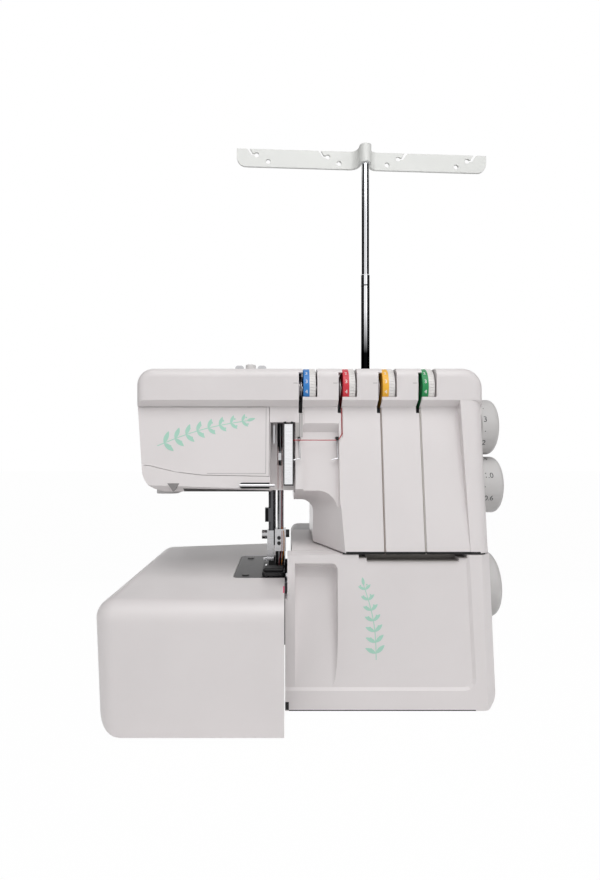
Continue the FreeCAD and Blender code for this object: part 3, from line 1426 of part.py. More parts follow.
def side_controls():
    """Stitch-length dial, differential dial, power switch and inlet on the right side."""
    for name, z, radius, out in (("stitch_dial", "stitch_z", "stitch_r", "stitch_out"),
                                 ("diff_dial", "diff_z", "diff_r", "diff_out")):
        inner = f"{side_at(f'{z} - {radius}')} + knob_gap"
        cap = rod(name + "_cap", "x", "knob_y", z, inner, out, radius)
        cap = rounded(name + "_round", cap, "knob_edge", lambda p, d, out=out: near(p.x, out))
        stem = rod(name + "_stem", "x", "knob_y", z, "cavity_right", inner, "knob_stem_r")
        node(name, join(name + "_solid", cap, stem))
    middle = "switch_z + switch_h / 2"
    span = ("switch_y", "switch_y + switch_len")
    drum = rod("switch_drum", "y", "side_x - switch_sink", middle, *span, "switch_h / 2")
    back = box("switch_back", "side_x - switch_h", "side_x - switch_depth", "switch_y - 1",
               "switch_y + switch_len + 1", "switch_z - 1", "switch_z + switch_h + 1")
    dip = prism("switch_dip", "xz", [
        ("side_x", middle),
        ("side_x + switch_sink", "switch_z"),
        ("side_x + switch_sink", "switch_z + switch_h"),
    ], "switch_y - 1", "switch_y + switch_len + 1")
    rocker = cut("switch_rocker", drum, back, dip)
    node("power_switch", rocker)
    body = box("inlet_body", "side_x - inlet_depth", "side_x + skin / 2", "inlet_y", "inlet_y + inlet_len",
               "inlet_z", "inlet_z + inlet_h")
    mouth = box("inlet_mouth", "side_x - inlet_depth + skin", "side_x + skin", "inlet_y + skin",
                "inlet_y + inlet_len - skin", "inlet_z + skin", "inlet_z + inlet_h - skin")
    node("power_inlet", cut("inlet", body, mouth))


def guide_plan(grow):
    """Half thickness lines of the guide band: hub round the pole, flank bends and wings."""
    hub = num("tube_r - tube_wall - run_fit") + num("run_fit + guide_bar_t / 2")
    half_t = num("guide_bar_t") / 2
    bend = num("guide_bend_r")
    back = num("guide_back")
    end = num("guide_len") / 2
    hub_r = hub + grow * half_t
    bend_r = bend - grow * half_t
    wing_y = back - grow * half_t
    bend_x, bend_y = hub + bend, back - bend
    turn = 0.5 ** 0.5
    edges = []
    for side in (-1, 1):
        edges.append(Part.Arc(Vector(0, -hub_r, 0), Vector(side * hub_r * turn, -hub_r * turn, 0),
                              Vector(side * hub_r, 0, 0)).toShape())
        edges.append(Part.makeLine(Vector(side * hub_r, 0, 0), Vector(side * hub_r, bend_y, 0)))
        edges.append(Part.Arc(Vector(side * hub_r, bend_y, 0),
                              Vector(side * (bend_x - bend_r * turn), bend_y + bend_r * turn, 0),
                              Vector(side * bend_x, wing_y, 0)).toShape())
        edges.append(Part.makeLine(Vector(side * bend_x, wing_y, 0), Vector(side * end, wing_y, 0)))
    return edges


def guide_slit(side, x, z, top, start, depth):
    """Way in for the thread: from the band's top edge down and inwards to an eye."""
    half = num("guide_slit") / 2
    reach = num("guide_slit_reach")
    row = [(0, -half), (reach / 2, -half / 2), (reach, top + 1 - z), (reach - 3 * half, top + 1 - z),
           (reach / 2 - half, half + half / 2), (0, half)]
    points = [Vector(x + side * out, start, z + up) for out, up in row]
    return Part.Face(Part.makePolygon(points + points[:1])).extrude(Vector(0, depth, 0))


def guide_band():
    """Swivelling thread guide on top of the pole."""
    end = num("guide_len") / 2
    half_t = num("guide_bar_t") / 2
    back = num("guide_back")
    caps = [Part.makeLine(Vector(side * end, back - half_t, 0), Vector(side * end, back + half_t, 0))
            for side in (-1, 1)]
    loop = Part.Wire(Part.__sortEdges__(guide_plan(1) + guide_plan(-1) + caps))
    tall = num("guide_bar_h")
    band = Part.Face(loop).extrude(Vector(0, 0, tall))
    edges = [e for e in band.Edges if abs(abs(e.CenterOfMass.x) - end) < 0.01 and e.CenterOfMass.z < 0.01]
    band = band.makeFillet(num("guide_low_r"), edges)
    tools = []
    for side in (-1, 1):
        for place in ("guide_near", "guide_far"):
            eye_x = side * num(f"{place} + guide_slot_step")
            eye_z = tall - num("guide_slot_down")
            for x, z in ((side * num(place), num("guide_hole_up")), (eye_x, eye_z)):
                tools.append(Part.makeCylinder(num("guide_hole_r"), 4 * half_t + 2,
                                               Vector(x, back - 2 * half_t - 1, z), Vector(0, 1, 0)))
            tools.append(guide_slit(side, eye_x, eye_z, tall, back - 2 * half_t - 1, 4 * half_t + 2))
    obj = shaped("guide_band", band.cut(tools[0].multiFuse(tools[1:])))
    base = spot("pole_x", "pole_y", "inner_top - guide_bar_h")
    obj.Placement = FreeCAD.Placement(base, Rotation(Vector(0, 0, 1), num("guide_turn")))
    node("thread_guide_plate", obj)


def antenna():
    """Spool stand with pins and cushions, telescopic pole and its thread guide."""
    low = "stand_top - stand_h"
    block = box("stand_block", "stand_left", "stand_right", "body_back", "stand_back", low, "stand_top")
    block = rounded("stand_corner", block, "stand_r", lambda p, d: runs(d, "z") and near(p.y, "stand_back"))
    block = rounded("stand_round", block, "stand_edge_r",
                    lambda p, d: near(p.z, "stand_top") and p.y > num("body_back") + 1)
    hollow = box("stand_hollow", "stand_left + stand_r", "stand_right - stand_r", "body_back + stand_edge_r",
                 "stand_back - stand_r", f"{low} - 1", "stand_top - skin")
    boss = rod("stand_boss", "z", "pole_x", "pole_y", low, "stand_top - skin / 2", "2 * tube_r")
    socket = rod("stand_socket", "z", "pole_x", "pole_y", f"{low} + skin", "stand_top + 1", "tube_r")
    node("spool_stand", cut("stand", join("stand_solid", cut("stand_shell", block, hollow), boss), socket))

    pins = []
    cushions = []
    for i in range(4):
        x = f"pin_first + {i} * pin_pitch"
        y = f"pin_row + {i % 2} * pin_step"
        seat_top = "stand_top + pin_seat_h"
        stem = rod("pin_stem", "z", x, y, "stand_top", "stand_top + pin_h", "pin_r")
        stem = rounded("pin_tip", stem, "pin_r / 2", lambda p, d: near(p.z, "stand_top + pin_h"))
        seat = rod("pin_seat", "z", x, y, "stand_top", seat_top, "pin_seat_r")
        pins.append(join("pin", stem, seat))
        pad = rod("cushion_blank", "z", x, y, "stand_top", "stand_top + cushion_t", "cushion_r")
        cushions.append(cut("cushion", pad, rod("cushion_hole", "z", x, y, "stand_top - 1", f"{seat_top} + 1",
                                                "pin_seat_r")))
    node("spool_pins", group("pin_set", pins))
    node("spool_cushions", group("cushion_set", cushions))

    outer = rod("tube_outer", "z", "pole_x", "pole_y", f"{low} + skin", "tube_top", "tube_r")
    bore = rod("tube_bore", "z", "pole_x", "pole_y", f"{low} + skin - 1", "tube_top + 1",
               "tube_r - tube_wall")
    ring = rod("tube_ring", "z", "pole_x", "pole_y", "tube_groove_z - 1", "tube_groove_z + 1", "tube_r + 1")
    core = rod("tube_ring_core", "z", "pole_x", "pole_y", "tube_groove_z - 2", "tube_groove_z + 2",
               "tube_r - tube_groove")
    node("antenna_lower_tube", cut("tube", outer, bore, cut("tube_groove_ring", ring, core)))
    inner_r = "tube_r - tube_wall - run_fit"
    pipe = rod("inner_pipe", "z", "pole_x", "pole_y", "tube_top - inner_grip", "inner_top", inner_r)
    hole = rod("inner_bore", "z", "pole_x", "pole_y", "tube_top - inner_grip - 1", "inner_top - 2",
               f"{inner_r} - inner_wall")
    node("antenna_upper_tube", cut("inner_tube", pipe, hole))
    guide_band()


def thread_path(tabs):
    """Wire hooks, take-up cover and the threads that show."""
    hooks = []
    for x, sink in (("hook_first", "0"), ("hook_second", "zone_sink")):
        wall = face_y("hook_z", sink)
        foot = face_y("hook_z - hook_drop", f"{sink} - hook_out")
        hooks.append(shaped("hook", wire_run([
            spot(x, f"{wall} + hook_out", "hook_z"),
            spot(x, f"{wall} - hook_out / 2", "hook_z - hook_r"),
            spot(f"{x} + hook_r", foot, "hook_z - hook_drop"),
            spot(f"{x} - hook_reach", f"{foot} - hook_r", "hook_z - hook_drop - 2 * hook_r"),
        ], num("hook_r"))))
    bar = rod("guide_bar", "x", f"{face_y('bar_z')} - bar_r - play", "bar_z", "bar_left",
              "bar_left + bar_len", "bar_r")
    fork = box("guide_fork", "recess_left + skin", "recess_left + skin + shield_t", "shield_front + skin",
               "recess_back",
               "recess_top - fork_h", "recess_top - skin")
    node("thread_guides", group("guide_set", [*hooks, *tabs, bar, fork]))

    plate = box("shield_plate", "shield_left", "shield_right", "shield_front", "shield_front + shield_t",
                "shield_low", "shield_high")
    sides = [box("shield_side", x, f"{x} + shield_t", "shield_front", "recess_back", "shield_low",
                 "shield_high")
             for x in ("shield_left", "shield_right - shield_t")]
    node("take_up_cover", join("shield", plate, *sides))

    def groove_spot(i, z):
        return spot(f"{dial_x(i)} - groove_off", face_y(z, "groove_deep / 2"), z)

    threads = []
    for i in (2, 3):
        ends = [groove_spot(i, "bevel_low - 1"), groove_spot(i, "body_low - 1")]
        threads.append(shaped("looper_thread", wire_run(ends, num("thread_r"))))
    first_wall = face_y("hook_z", "-hook_out / 2")
    line = "hook_z - 3 * hook_r"
    turn = "groove_short + 3"
    threads.append(shaped("needle_thread", wire_run([
        groove_spot(1, "bevel_low - 1"),
        groove_spot(1, turn),
        spot(f"{dial_x(1)} - groove_off", face_y(turn, "-groove_deep"), turn),
        spot("hook_second + hook_r", face_y(line, "-groove_deep"), line),
        spot("hook_first", f"{first_wall} - 3 * hook_r", line),
        spot("shield_right + hover", "shield_front - 1", line),
    ], num("thread_r"))))
    node("threads", group("thread_set", threads))


def finish():
    """Check every object, then write one file per node."""
    doc.recompute()
    failed = [o.Label for o in doc.Objects if "Invalid" in o.State or "Error" in o.State]
    failed += [name for name, o in NODES.items() if o.Shape.isNull() or not o.Shape.isValid()]
    if failed:
        raise RuntimeError("failed: " + ", ".join(failed))
    os.makedirs("parts", exist_ok=True)
    for name, obj in NODES.items():
        obj.Shape.exportStep(f"parts/{name}.step")


base()
looper_cover()
extension_table()
needle_plate()
upper_body()
frame()
drive()
needle_bar()
tabs = presser()
cutting()
tension()
side_controls()
antenna()
thread_path(tabs)
finish()
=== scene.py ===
import bpy
import math
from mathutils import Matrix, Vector


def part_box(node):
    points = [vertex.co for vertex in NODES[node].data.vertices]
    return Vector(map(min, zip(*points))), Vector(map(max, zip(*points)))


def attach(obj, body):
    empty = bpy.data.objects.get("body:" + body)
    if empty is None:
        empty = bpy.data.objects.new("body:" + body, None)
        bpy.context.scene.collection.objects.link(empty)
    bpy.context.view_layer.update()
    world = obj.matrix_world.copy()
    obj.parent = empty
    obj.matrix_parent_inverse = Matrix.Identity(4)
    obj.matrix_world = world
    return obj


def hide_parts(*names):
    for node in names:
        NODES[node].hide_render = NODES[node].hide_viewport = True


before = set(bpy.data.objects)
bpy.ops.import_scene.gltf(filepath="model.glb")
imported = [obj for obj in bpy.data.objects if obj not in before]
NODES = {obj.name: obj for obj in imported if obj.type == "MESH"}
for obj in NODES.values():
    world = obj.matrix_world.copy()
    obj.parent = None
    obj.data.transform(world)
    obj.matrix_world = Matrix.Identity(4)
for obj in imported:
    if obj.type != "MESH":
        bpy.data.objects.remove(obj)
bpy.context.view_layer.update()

# Studio, in metres and watts.
FLOOR_SIZE, FLOOR_GLOW, WORLD_LIGHT = 8, 0.985, 0.28
LAMP_AIM = Vector((0, 0, 0.2))
# Name, place, width, height and power of each lamp.
LAMPS = (("key", (0.12, -1.05, 1.65), 1.2, 1.2, 17.4), ("right", (1.1, -1.0, 0.8), 1.0, 1.0, 3.8),
         ("left", (-1.0, -1.0, 0.8), 1.0, 1.0, 0.9), ("side", (-1.2, -0.35, 0.2), 0.6, 0.6, 1.2),
         ("back", (0.0, 0.28, 0.1), 1.2, 0.1, 0.5))
# Name, place, turn, width and height of each dark card, and the kinds of ray that meet it.
CARDS = (("side_card_0", (-0.9, 0.4, 0.9), math.pi / 2, 3.0, 1.8, ("glossy",)),
         ("side_card_2", (0.9, 0.4, 0.9), math.pi / 2, 3.0, 1.8, ("glossy",)),
         ("back_card", (0, 0.3, 0.5), 0, 2.4, 1.0, ("diffuse", "shadow")))
# Focal length, long side and shift of the photograph in pixels; the camera's place in machine millimetres.
PHOTO_FOCAL, PHOTO_LONG, PHOTO_SHIFT = 507, 880, (13, 7)
SENSOR = 36
CAMERA = (0, -370, 216)

# Origin of the machine millimetres, in metres: the seam beside the table, at the table's front.
SEAM = Vector((-0.0405, -0.145, 0.0))

# Tension dials: the left one, their pitch, size, axis and coloured band.
DIAL_FIRST, DIAL_PITCH, DIAL_W, DIAL_R, DIAL_Y, DIAL_Z = 13.6, 33.0, 10.4, 17.0, 68.0, 266.0
BAND_W = 5.2
DIAL_COLOURS = ((40, 120, 192), (206, 44, 60), (238, 178, 48), (26, 138, 76))
DIAL_SLOTS = ("dial_blue", "dial_red", "dial_yellow", "dial_green")
DIAL_WHITE = (226, 223, 221)
DIAL_STEP, DIAL_SHOWN, DIAL_TEXT = 29, 15, 4.4
TEXT_NUDGE = 0.1
RIB_COUNT, RIB_RISE, RIB_SINK, RIB_SHARE = 44, 0.28, 0.12, 0.5
RIB_FROM_BAND, RIB_FROM_END = 0.5, 0.7
# Index mark left of each dial: gap, left and right end, then its depths and heights.
MARK_GAP, MARK_FAR, MARK_NEAR = 4.1, 4.2, 0.6
MARK_Y, MARK_Z = (49.9, 50.02), (268.8, 269.15)
GLYPH_THICK, GLYPH_GAP = 0.04, 0.03
# Number that faces the front on the tension dials and the stitch-length dial.
FACING = 3
# Side dials: axis in Y and Z, radius, text size, X of the text, angle of the shown number and step.
STITCH_AXIS, STITCH_R, STITCH_TEXT = (84.0, 233.6), 24.3, 7.0
STITCH_X, STITCH_SHOWN, STITCH_STEP = 168.4, 13.8, 49
FEED_AXIS, FEED_R, FEED_TEXT = (84.0, 182.5), 24.8, 6.6
FEED_X, FEED_DOT_X, FEED_SHOWN, FEED_STEP = 171.6, 168.0, 21.8, 46

# Spool stand and antenna.
SPOOLS = ((48.0, 226.0), (89.0, 262.0), (130.0, 226.0), (171.0, 262.0))
PAD_R, PAD_HOLE, PAD_STEPS, PAD_SIDE, PAD_CROWN = 19.0, 7.1, 40, 0.3, 0.5
POLE, POLE_R, POLE_TOP, POLE_SIDES = (85.7, 185.0), 4.6, 404.0, 48
RING_SINK = 0.05
# Heights between which the chrome of the two tubes goes from its darker to its brighter colour upwards:
# painted reflection, near black at the foot of the lower tube and faint on the upper one.
UPPER_SHADE_SPAN, LOWER_SHADE_SPAN = (280, 540), (318, 366)
# Heights of the rings' profiles, from the top of the lower tube.
RIM, RIM_RISE = (-0.9, -0.75, -0.1, -0.05), 0.06
GROOVE, GROOVE_RISE = (-12.4, -12.3, -11.4, -11.3), 0.05

# Front faces: depth at the foot and the head of the slope, and their heights.
FACE_FOOT, FACE_HEAD, FACE_LOW, FACE_HIGH = 38.4, 58.0, 130.4, 250.0
PANEL_Y, COVER_Y, CHANNEL_DEEP = 39.6, 38.0, 1.2
FILM_LIFT, FILM_STEP, FILM_STEPS, FILM_SINK = 0.07, 0.02, 5, 0.03
# Garlands: start, end, bow, pairs of leaves and length of the first leaf.
HEAD_SPRIG = ((-108, 217), (-34, 238), 3.0, 8, 11.0)
COVER_SPRIG = ((72, 44), (62, 104), -3.0, 7, 10.0)
STEM_HALF, STEM_STEPS, LEAF_STEPS, BERRY_SIDES = 0.35, 24, 8, 14
# Shares of a garland: places of leaves and berries along a step, taper, then those of a leaf's length.
LEAF_AT, BERRY_AT, TAPER = 0.6, 0.45, 0.4
TIP_LONG, TIP_WIDE, LEAF_WIDE, BERRY_OUT, BERRY_R = 0.7, 0.24, 0.36, 0.42, 0.1
LEAF_LEAN = 0.95
# Films: left, right, low and high.
# Painted shade: a dark film where the slot round the bar under the head shows dark.
BAR_SLOT_SHADE = (-39.2, -14.4, 181.8, 186.7)
FACE_LINES = ((-17.8, -17.4, 194.0, 248.6), (-66.0, -17.4, 194.0, 194.4))
# Painted shadow: a dark line along the foot of the looper cover, where it meets the floor.
COVER_FOOT_SHADOW = (1.6, 152.0, 3.62, 4.4)
# Painted shade: the dark gap at the lower left corner of the looper cover.
COVER_CORNER_SHADE = (-1.45, 1.5, 4.4, 10.8)
# Painted shade: the zone left of the channel under the first thread slot, and the channel's edge and floor.
ZONE_SHADE = (7.05, 10.1, 223.6, 236.5)
CHANNEL_EDGE = (10.1, 11.2, 223.6, 244.3)
CHANNEL_FLOOR = (11.25, 13.3, 223.6, 244.3)
# Blocks: lowest and highest corner.
# Painted shade: black bars where the shadow gap between the column and the looper cover shows dark.
COLUMN_SHADOW_GAP = (((47.6, 38.0, 130.42), (156.0, 38.7, 131.5)), ((45.0, 38.75, 129.5), (160.0, 40.5, 130.42)))
# Painted shade: grey floor, walls and back in the notch of the looper cover.
NOTCH_SHADE_BLOCKS = (((64.4, 38.3, 123.78), (138.8, 51.9, 123.9)), ((58.0, 38.3, 126.38), (64.3, 51.9, 126.5)),
                ((138.9, 38.3, 126.38), (145.2, 51.9, 126.5)), ((64.4, 50.9, 123.8), (138.8, 51.95, 128.8)))
TABLE_MARK = (((-3.2, 26.0, 101.99), (-2.05, 45.0, 102.06)),)
FOOT_CROWN = (((-21.0, 77.0, 105.6), (-3.2, 90.0, 108.8)),)
FOOT_SPRING = (((-22.0, 101.6, 110.2), (-12.2, 103.85, 113.0)), ((-20.0, 90.0, 105.7), (-18.4, 103.0, 107.0)))
FOOT_HEEL = (((-10.8, 110.0, 105.7), (-2.6, 114.0, 119.0)),)

# Chin under the head: height, run, rise at its start and stop, and the X of those, the lip and the notch,
# where the lip's dark band and the notch's grey triangle are painted shade.
HEAD_LOW, CHIN_RUN, CHIN_RISE, CHIN_END, CHIN_START, CHIN_STOP = 178.7, 9.0, 7.0, 2.6, -127.0, -14.0
CHIN_LEFT, CHIN_RIGHT, CHIN_PARTS = -86.0, -14.5, 12
LIP_SHARES, LIP_HALF = (0.45, 0.98), 0.05
NOTCH_X, NOTCH_HALF, NOTCH_TOP, NOTCH_FOOT, NOTCH_DEPTHS = -93.6, 5.0, 7.4, 0.2, (1.0, 4.4)

# Screws that show, and the half length, half width and depths of their slots.
CASING_SCREWS = ((-99.0, 255.0), (146.0, 255.0), (146.0, 146.4), (51.0, 146.4))
PLATE_SCREWS = ((-37.0, 82.0), (-37.0, 150.0))
SLOT_LONG, SLOT_WIDE = 2.4, 0.4
CASING_SLOT_Y, PLATE_SLOT_Z = (166.45, 166.7), (102.5, 102.68)

# Take-up cover: its front, foot and head, then the left of its edges and prongs, their widths and backs; the
# dark strips on these edges, sill and prongs are painted shade.
SHIELD_FRONT, SHIELD_LOW, SHIELD_HIGH = 50.75, 184.6, 235.4
EDGE_LEFTS, EDGE_W, EDGE_BACK, EDGE_RISE = (-3.0, 4.6), 0.9, 52.6, 1.6
PRONG_LEFTS, PRONG_W, PRONG_BACK, PRONG_RISE = (-2.2, 3.1), 1.6, 53.0, 1.8
SILL_DROP, SILL_RISE = 0.7, 0.3

# Needle bar, clamp and threads; a thread's gaps are from the metal that it lies on.
PRESSER_LEFT = -17.4
NEEDLE_X, NEEDLE_Y, BAR_R = -6.0, 98.0, 2.9
CLAMP_TOP, CLAMP_LOW, CLAMP_FRONT = 141.0, 121.0, 93.0
BAR_GAP, CLAMP_GAP, NEEDLE_GAP = 0.35, 0.45, 0.9
BAR_SIDE, OVER_CLAMP, UNDER_CLAMP = 1.2, 2.0, 3.0
THREAD_BEND, THREAD_FOOT = 112.0, 107.0
TAKE_UP_SIDES, TAKE_UP_R = (-1.75, 1.75), 0.4
TAKE_UP_RUN = ((78.0, 216.0), (67.4, 213.0), (67.4, 180.2))
THREADS_RIGHT = 120
# A direction that no thread follows.
ASIDE = Vector((0.31, 0.17, 0.05))
HOOKS, HOOK_Z, HOOK_HALF = (10.0, 42.0), 223.4, 1.0
HOOK_FRONT, HOOK_BACK, HOOK_DROP, HOOK_RISE = 2.4, 2.0, 2.0, 1.2


def linear(rgb):
    """Linear colour of an sRGB triple in 0 to 255."""
    out = []
    for c in rgb:
        c = c / 255
        out.append(c / 12.92 if c <= 0.04045 else ((c + 0.055) / 1.055) ** 2.4)
    return (*out, 1.0)


def shade(rgb, by):
    """Linear colour of a triple made lighter or darker."""
    return linear([max(0, min(255, c + by)) for c in rgb])


def at(x, y, z):
    """Row-frame point of machine millimetres: X from the seam, Y from the table front."""
    return Vector((x / 1000, y / 1000, z / 1000)) + SEAM


def span(nodes, links, source, low, high):
    """A value from 0 to 1 brought to another range."""
    made = nodes.new("ShaderNodeMapRange")
    made.inputs["To Min"].default_value = low
    made.inputs["To Max"].default_value = high
    links.new(source, made.inputs["Value"])
    return made.outputs["Result"]


class Tree:
    """Short hand for building a material's nodes."""

    def __init__(self, name, roughness=0.5, metallic=0.0):
        self.mat = bpy.data.materials.new(name)
        self.mat.use_nodes = True
        self.nodes = self.mat.node_tree.nodes
        self.links = self.mat.node_tree.links
        self.shader = self.nodes["Principled BSDF"]
        self.shader.inputs["Roughness"].default_value = roughness
        self.shader.inputs["Metallic"].default_value = metallic

    def add(self, kind, **values):
        """A node with its settings, or the values of its inputs."""
        made = self.nodes.new(kind)
        for key, value in values.items():
            if hasattr(made, key):
                setattr(made, key, value)
            else:
                made.inputs[key.replace("_", " ")].default_value = value
        return made

    def link(self, source, target):
        self.links.new(source, target)

    def place(self, scale=(1, 1, 1)):
        """Object coordinates, stretched."""
        coord = self.add("ShaderNodeTexCoord")
        mapping = self.add("ShaderNodeMapping", Scale=scale)
        self.link(coord.outputs["Object"], mapping.inputs["Vector"])
        return mapping.outputs["Vector"]

    def axis(self, letter):
        """One object coordinate."""
        coord = self.add("ShaderNodeTexCoord")
        parts = self.add("ShaderNodeSeparateXYZ")
        self.link(coord.outputs["Object"], parts.inputs["Vector"])
        return parts.outputs[letter]

    def between(self, letter, start, end):
        """0 to 1 from one value of an object coordinate to another."""
        made = self.add("ShaderNodeMapRange", From_Min=start, From_Max=end)
        self.link(self.axis(letter), made.inputs["Value"])
        return made.outputs["Result"]

    def noise(self, scale, detail=3.0, stretch=(1, 1, 1)):
        made = self.add("ShaderNodeTexNoise", Scale=scale, Detail=detail)
        self.link(self.place(stretch), made.inputs["Vector"])
        return made.outputs["Fac"]

    def ramp(self, source, low, high, start=0.3, end=0.7):
        """Two colours blended along a value."""
        made = self.add("ShaderNodeValToRGB")
        made.color_ramp.elements[0].position = start
        made.color_ramp.elements[1].position = end
        made.color_ramp.elements[0].color = low
        made.color_ramp.elements[1].color = high
        self.link(source, made.inputs["Fac"])
        return made.outputs["Color"]

    def value(self, source, low, high):
        return span(self.nodes, self.links, source, low, high)

    def bump(self, source, strength, distance):
        made = self.add("ShaderNodeBump", Strength=strength, Distance=distance)
        self.link(source, made.inputs["Height"])
        self.link(made.outputs["Normal"], self.shader.inputs["Normal"])

    def left_of(self, x, left, right):
        """One colour left of a plane across X and another right of it."""
        step = self.add("ShaderNodeMath", operation="LESS_THAN")
        self.link(self.axis("X"), step.inputs[0])
        step.inputs[1].default_value = x
        mix = self.add("ShaderNodeMix", data_type="RGBA")
        self.link(step.outputs[0], mix.inputs["Factor"])
        self.link(right, mix.inputs["A"])
        self.link(left, mix.inputs["B"])
        return mix.outputs["Result"]

    def color(self, source):
        self.link(source, self.shader.inputs["Base Color"])

    def rough(self, source):
        self.link(source, self.shader.inputs["Roughness"])


def moulded(name, rgb, rough=0.42, grain=900, vary=2):
    """Injection-moulded plastic: faint cloudy tone, fine texture, uneven gloss."""
    t = Tree(name, rough)
    t.color(t.ramp(t.noise(14, 5), shade(rgb, -vary), shade(rgb, vary)))
    t.rough(t.value(t.noise(60, 4), rough - 0.06, rough + 0.08))
    t.bump(t.noise(grain, 2), 0.2, 0.00003)
    return t.mat


def steel(name, rgb, rough=0.28, along=(1, 1, 12)):
    """Ground metal with fine lines and a slightly uneven sheen."""
    t = Tree(name, rough, 1.0)
    t.color(t.ramp(t.noise(140, 4, along), shade(rgb, -6), shade(rgb, 5)))
    t.rough(t.value(t.noise(260, 3, along), rough - 0.05, rough + 0.08))
    t.bump(t.noise(700, 2, along), 0.05, 0.00002)
    return t.mat


def cast(name, rgb):
    """Painted casting with an orange-peel surface."""
    t = Tree(name, 0.55, 0.25)
    t.color(t.ramp(t.noise(90, 5), shade(rgb, -12), shade(rgb, 8)))
    t.rough(t.value(t.noise(150, 3), 0.45, 0.7))
    t.bump(t.noise(420, 3), 0.5, 0.00012)
    return t.mat


def rubber(name, rgb):
    """Dull rubber or foam with a fine grain."""
    t = Tree(name, 0.8)
    t.color(t.ramp(t.noise(220, 4), shade(rgb, -6), shade(rgb, 10)))
    t.rough(t.value(t.noise(120, 3), 0.7, 0.92))
    t.bump(t.noise(1400, 2), 0.4, 0.00006)
    return t.mat


def two_tone(name, rgb, dark, split_x):
    """Polished bar whose block left of a plane is black."""
    t = Tree(name, 0.2, 1.0)
    grain = t.noise(140, 4, (1, 1, 0.06))
    bright = t.ramp(grain, shade(rgb, -6), shade(rgb, 6))
    black = t.ramp(grain, shade(dark, -3), shade(dark, 5))
    t.color(t.left_of(split_x, black, bright))
    t.rough(t.value(grain, 0.16, 0.3))
    return t.mat


def plated(name, low, high, z_low, z_high):
    """Smooth chrome with painted reflection: its colour runs from a darker to a brighter one between two
    heights, with faint wipe marks.
    """
    t = Tree(name, 0.09, 1.0)
    rise = t.between("Z", z_low / 1000, z_high / 1000)
    t.color(t.ramp(rise, linear(low), linear(high), 0.0, 1.0))
    t.rough(t.value(t.noise(30, 3, (1, 1, 0.2)), 0.06, 0.12))
    return t.mat


def dial(name, rgb, split_x):
    """White dial whose left part carries a coloured band."""
    t = Tree(name, 0.4)
    white = t.ramp(t.noise(60, 3), shade(DIAL_WHITE, -4), shade(DIAL_WHITE, 4))
    band = t.ramp(t.noise(60, 3), shade(rgb, -5), shade(rgb, 5))
    t.color(t.left_of(split_x, band, white))
    t.rough(t.value(t.noise(80, 3), 0.36, 0.5))
    t.bump(t.noise(900, 2), 0.2, 0.00004)
    return t.mat


def thread_mat(name):
    """Twisted thread, red at the needle side and pale greys for the loopers."""
    t = Tree(name, 0.85)
    made = t.add("ShaderNodeValToRGB")
    bands = made.color_ramp
    bands.interpolation = "CONSTANT"
    bands.elements[0].color = linear((186, 60, 66))
    bands.elements[1].position = 0.5
    bands.elements[1].color = linear((166, 153, 144))
    bands.elements.new(0.75).color = linear((203, 200, 192))
    t.link(t.between("X", at(0, 0, 0).x, at(THREADS_RIGHT, 0, 0).x), made.inputs["Fac"])
    t.color(made.outputs["Color"])
    wave = t.add("ShaderNodeTexWave", Scale=2600.0)
    t.link(t.place(), wave.inputs["Vector"])
    t.rough(t.value(wave.outputs["Fac"], 0.75, 0.95))
    t.bump(wave.outputs["Fac"], 0.5, 0.0001)
    return t.mat


def plain_thread(name, rgb):
    """Twisted thread of one colour."""
    t = Tree(name, 0.8)
    wave = t.add("ShaderNodeTexWave", Scale=900.0, bands_direction="DIAGONAL")
    t.link(t.place(), wave.inputs["Vector"])
    t.color(t.ramp(wave.outputs["Fac"], shade(rgb, -26), shade(rgb, 22)))
    t.rough(t.value(wave.outputs["Fac"], 0.7, 0.95))
    t.bump(wave.outputs["Fac"], 0.4, 0.0001)
    return t.mat


def lens(name):
    """Frosted lamp cover."""
    t = Tree(name, 0.25)
    t.shader.inputs["Transmission Weight"].default_value = 0.6
    t.color(t.ramp(t.noise(80, 3), linear((235, 233, 222)), linear((248, 247, 240))))
    t.rough(t.value(t.noise(200, 3), 0.2, 0.4))
    t.bump(t.noise(900, 2), 0.3, 0.00008)
    return t.mat


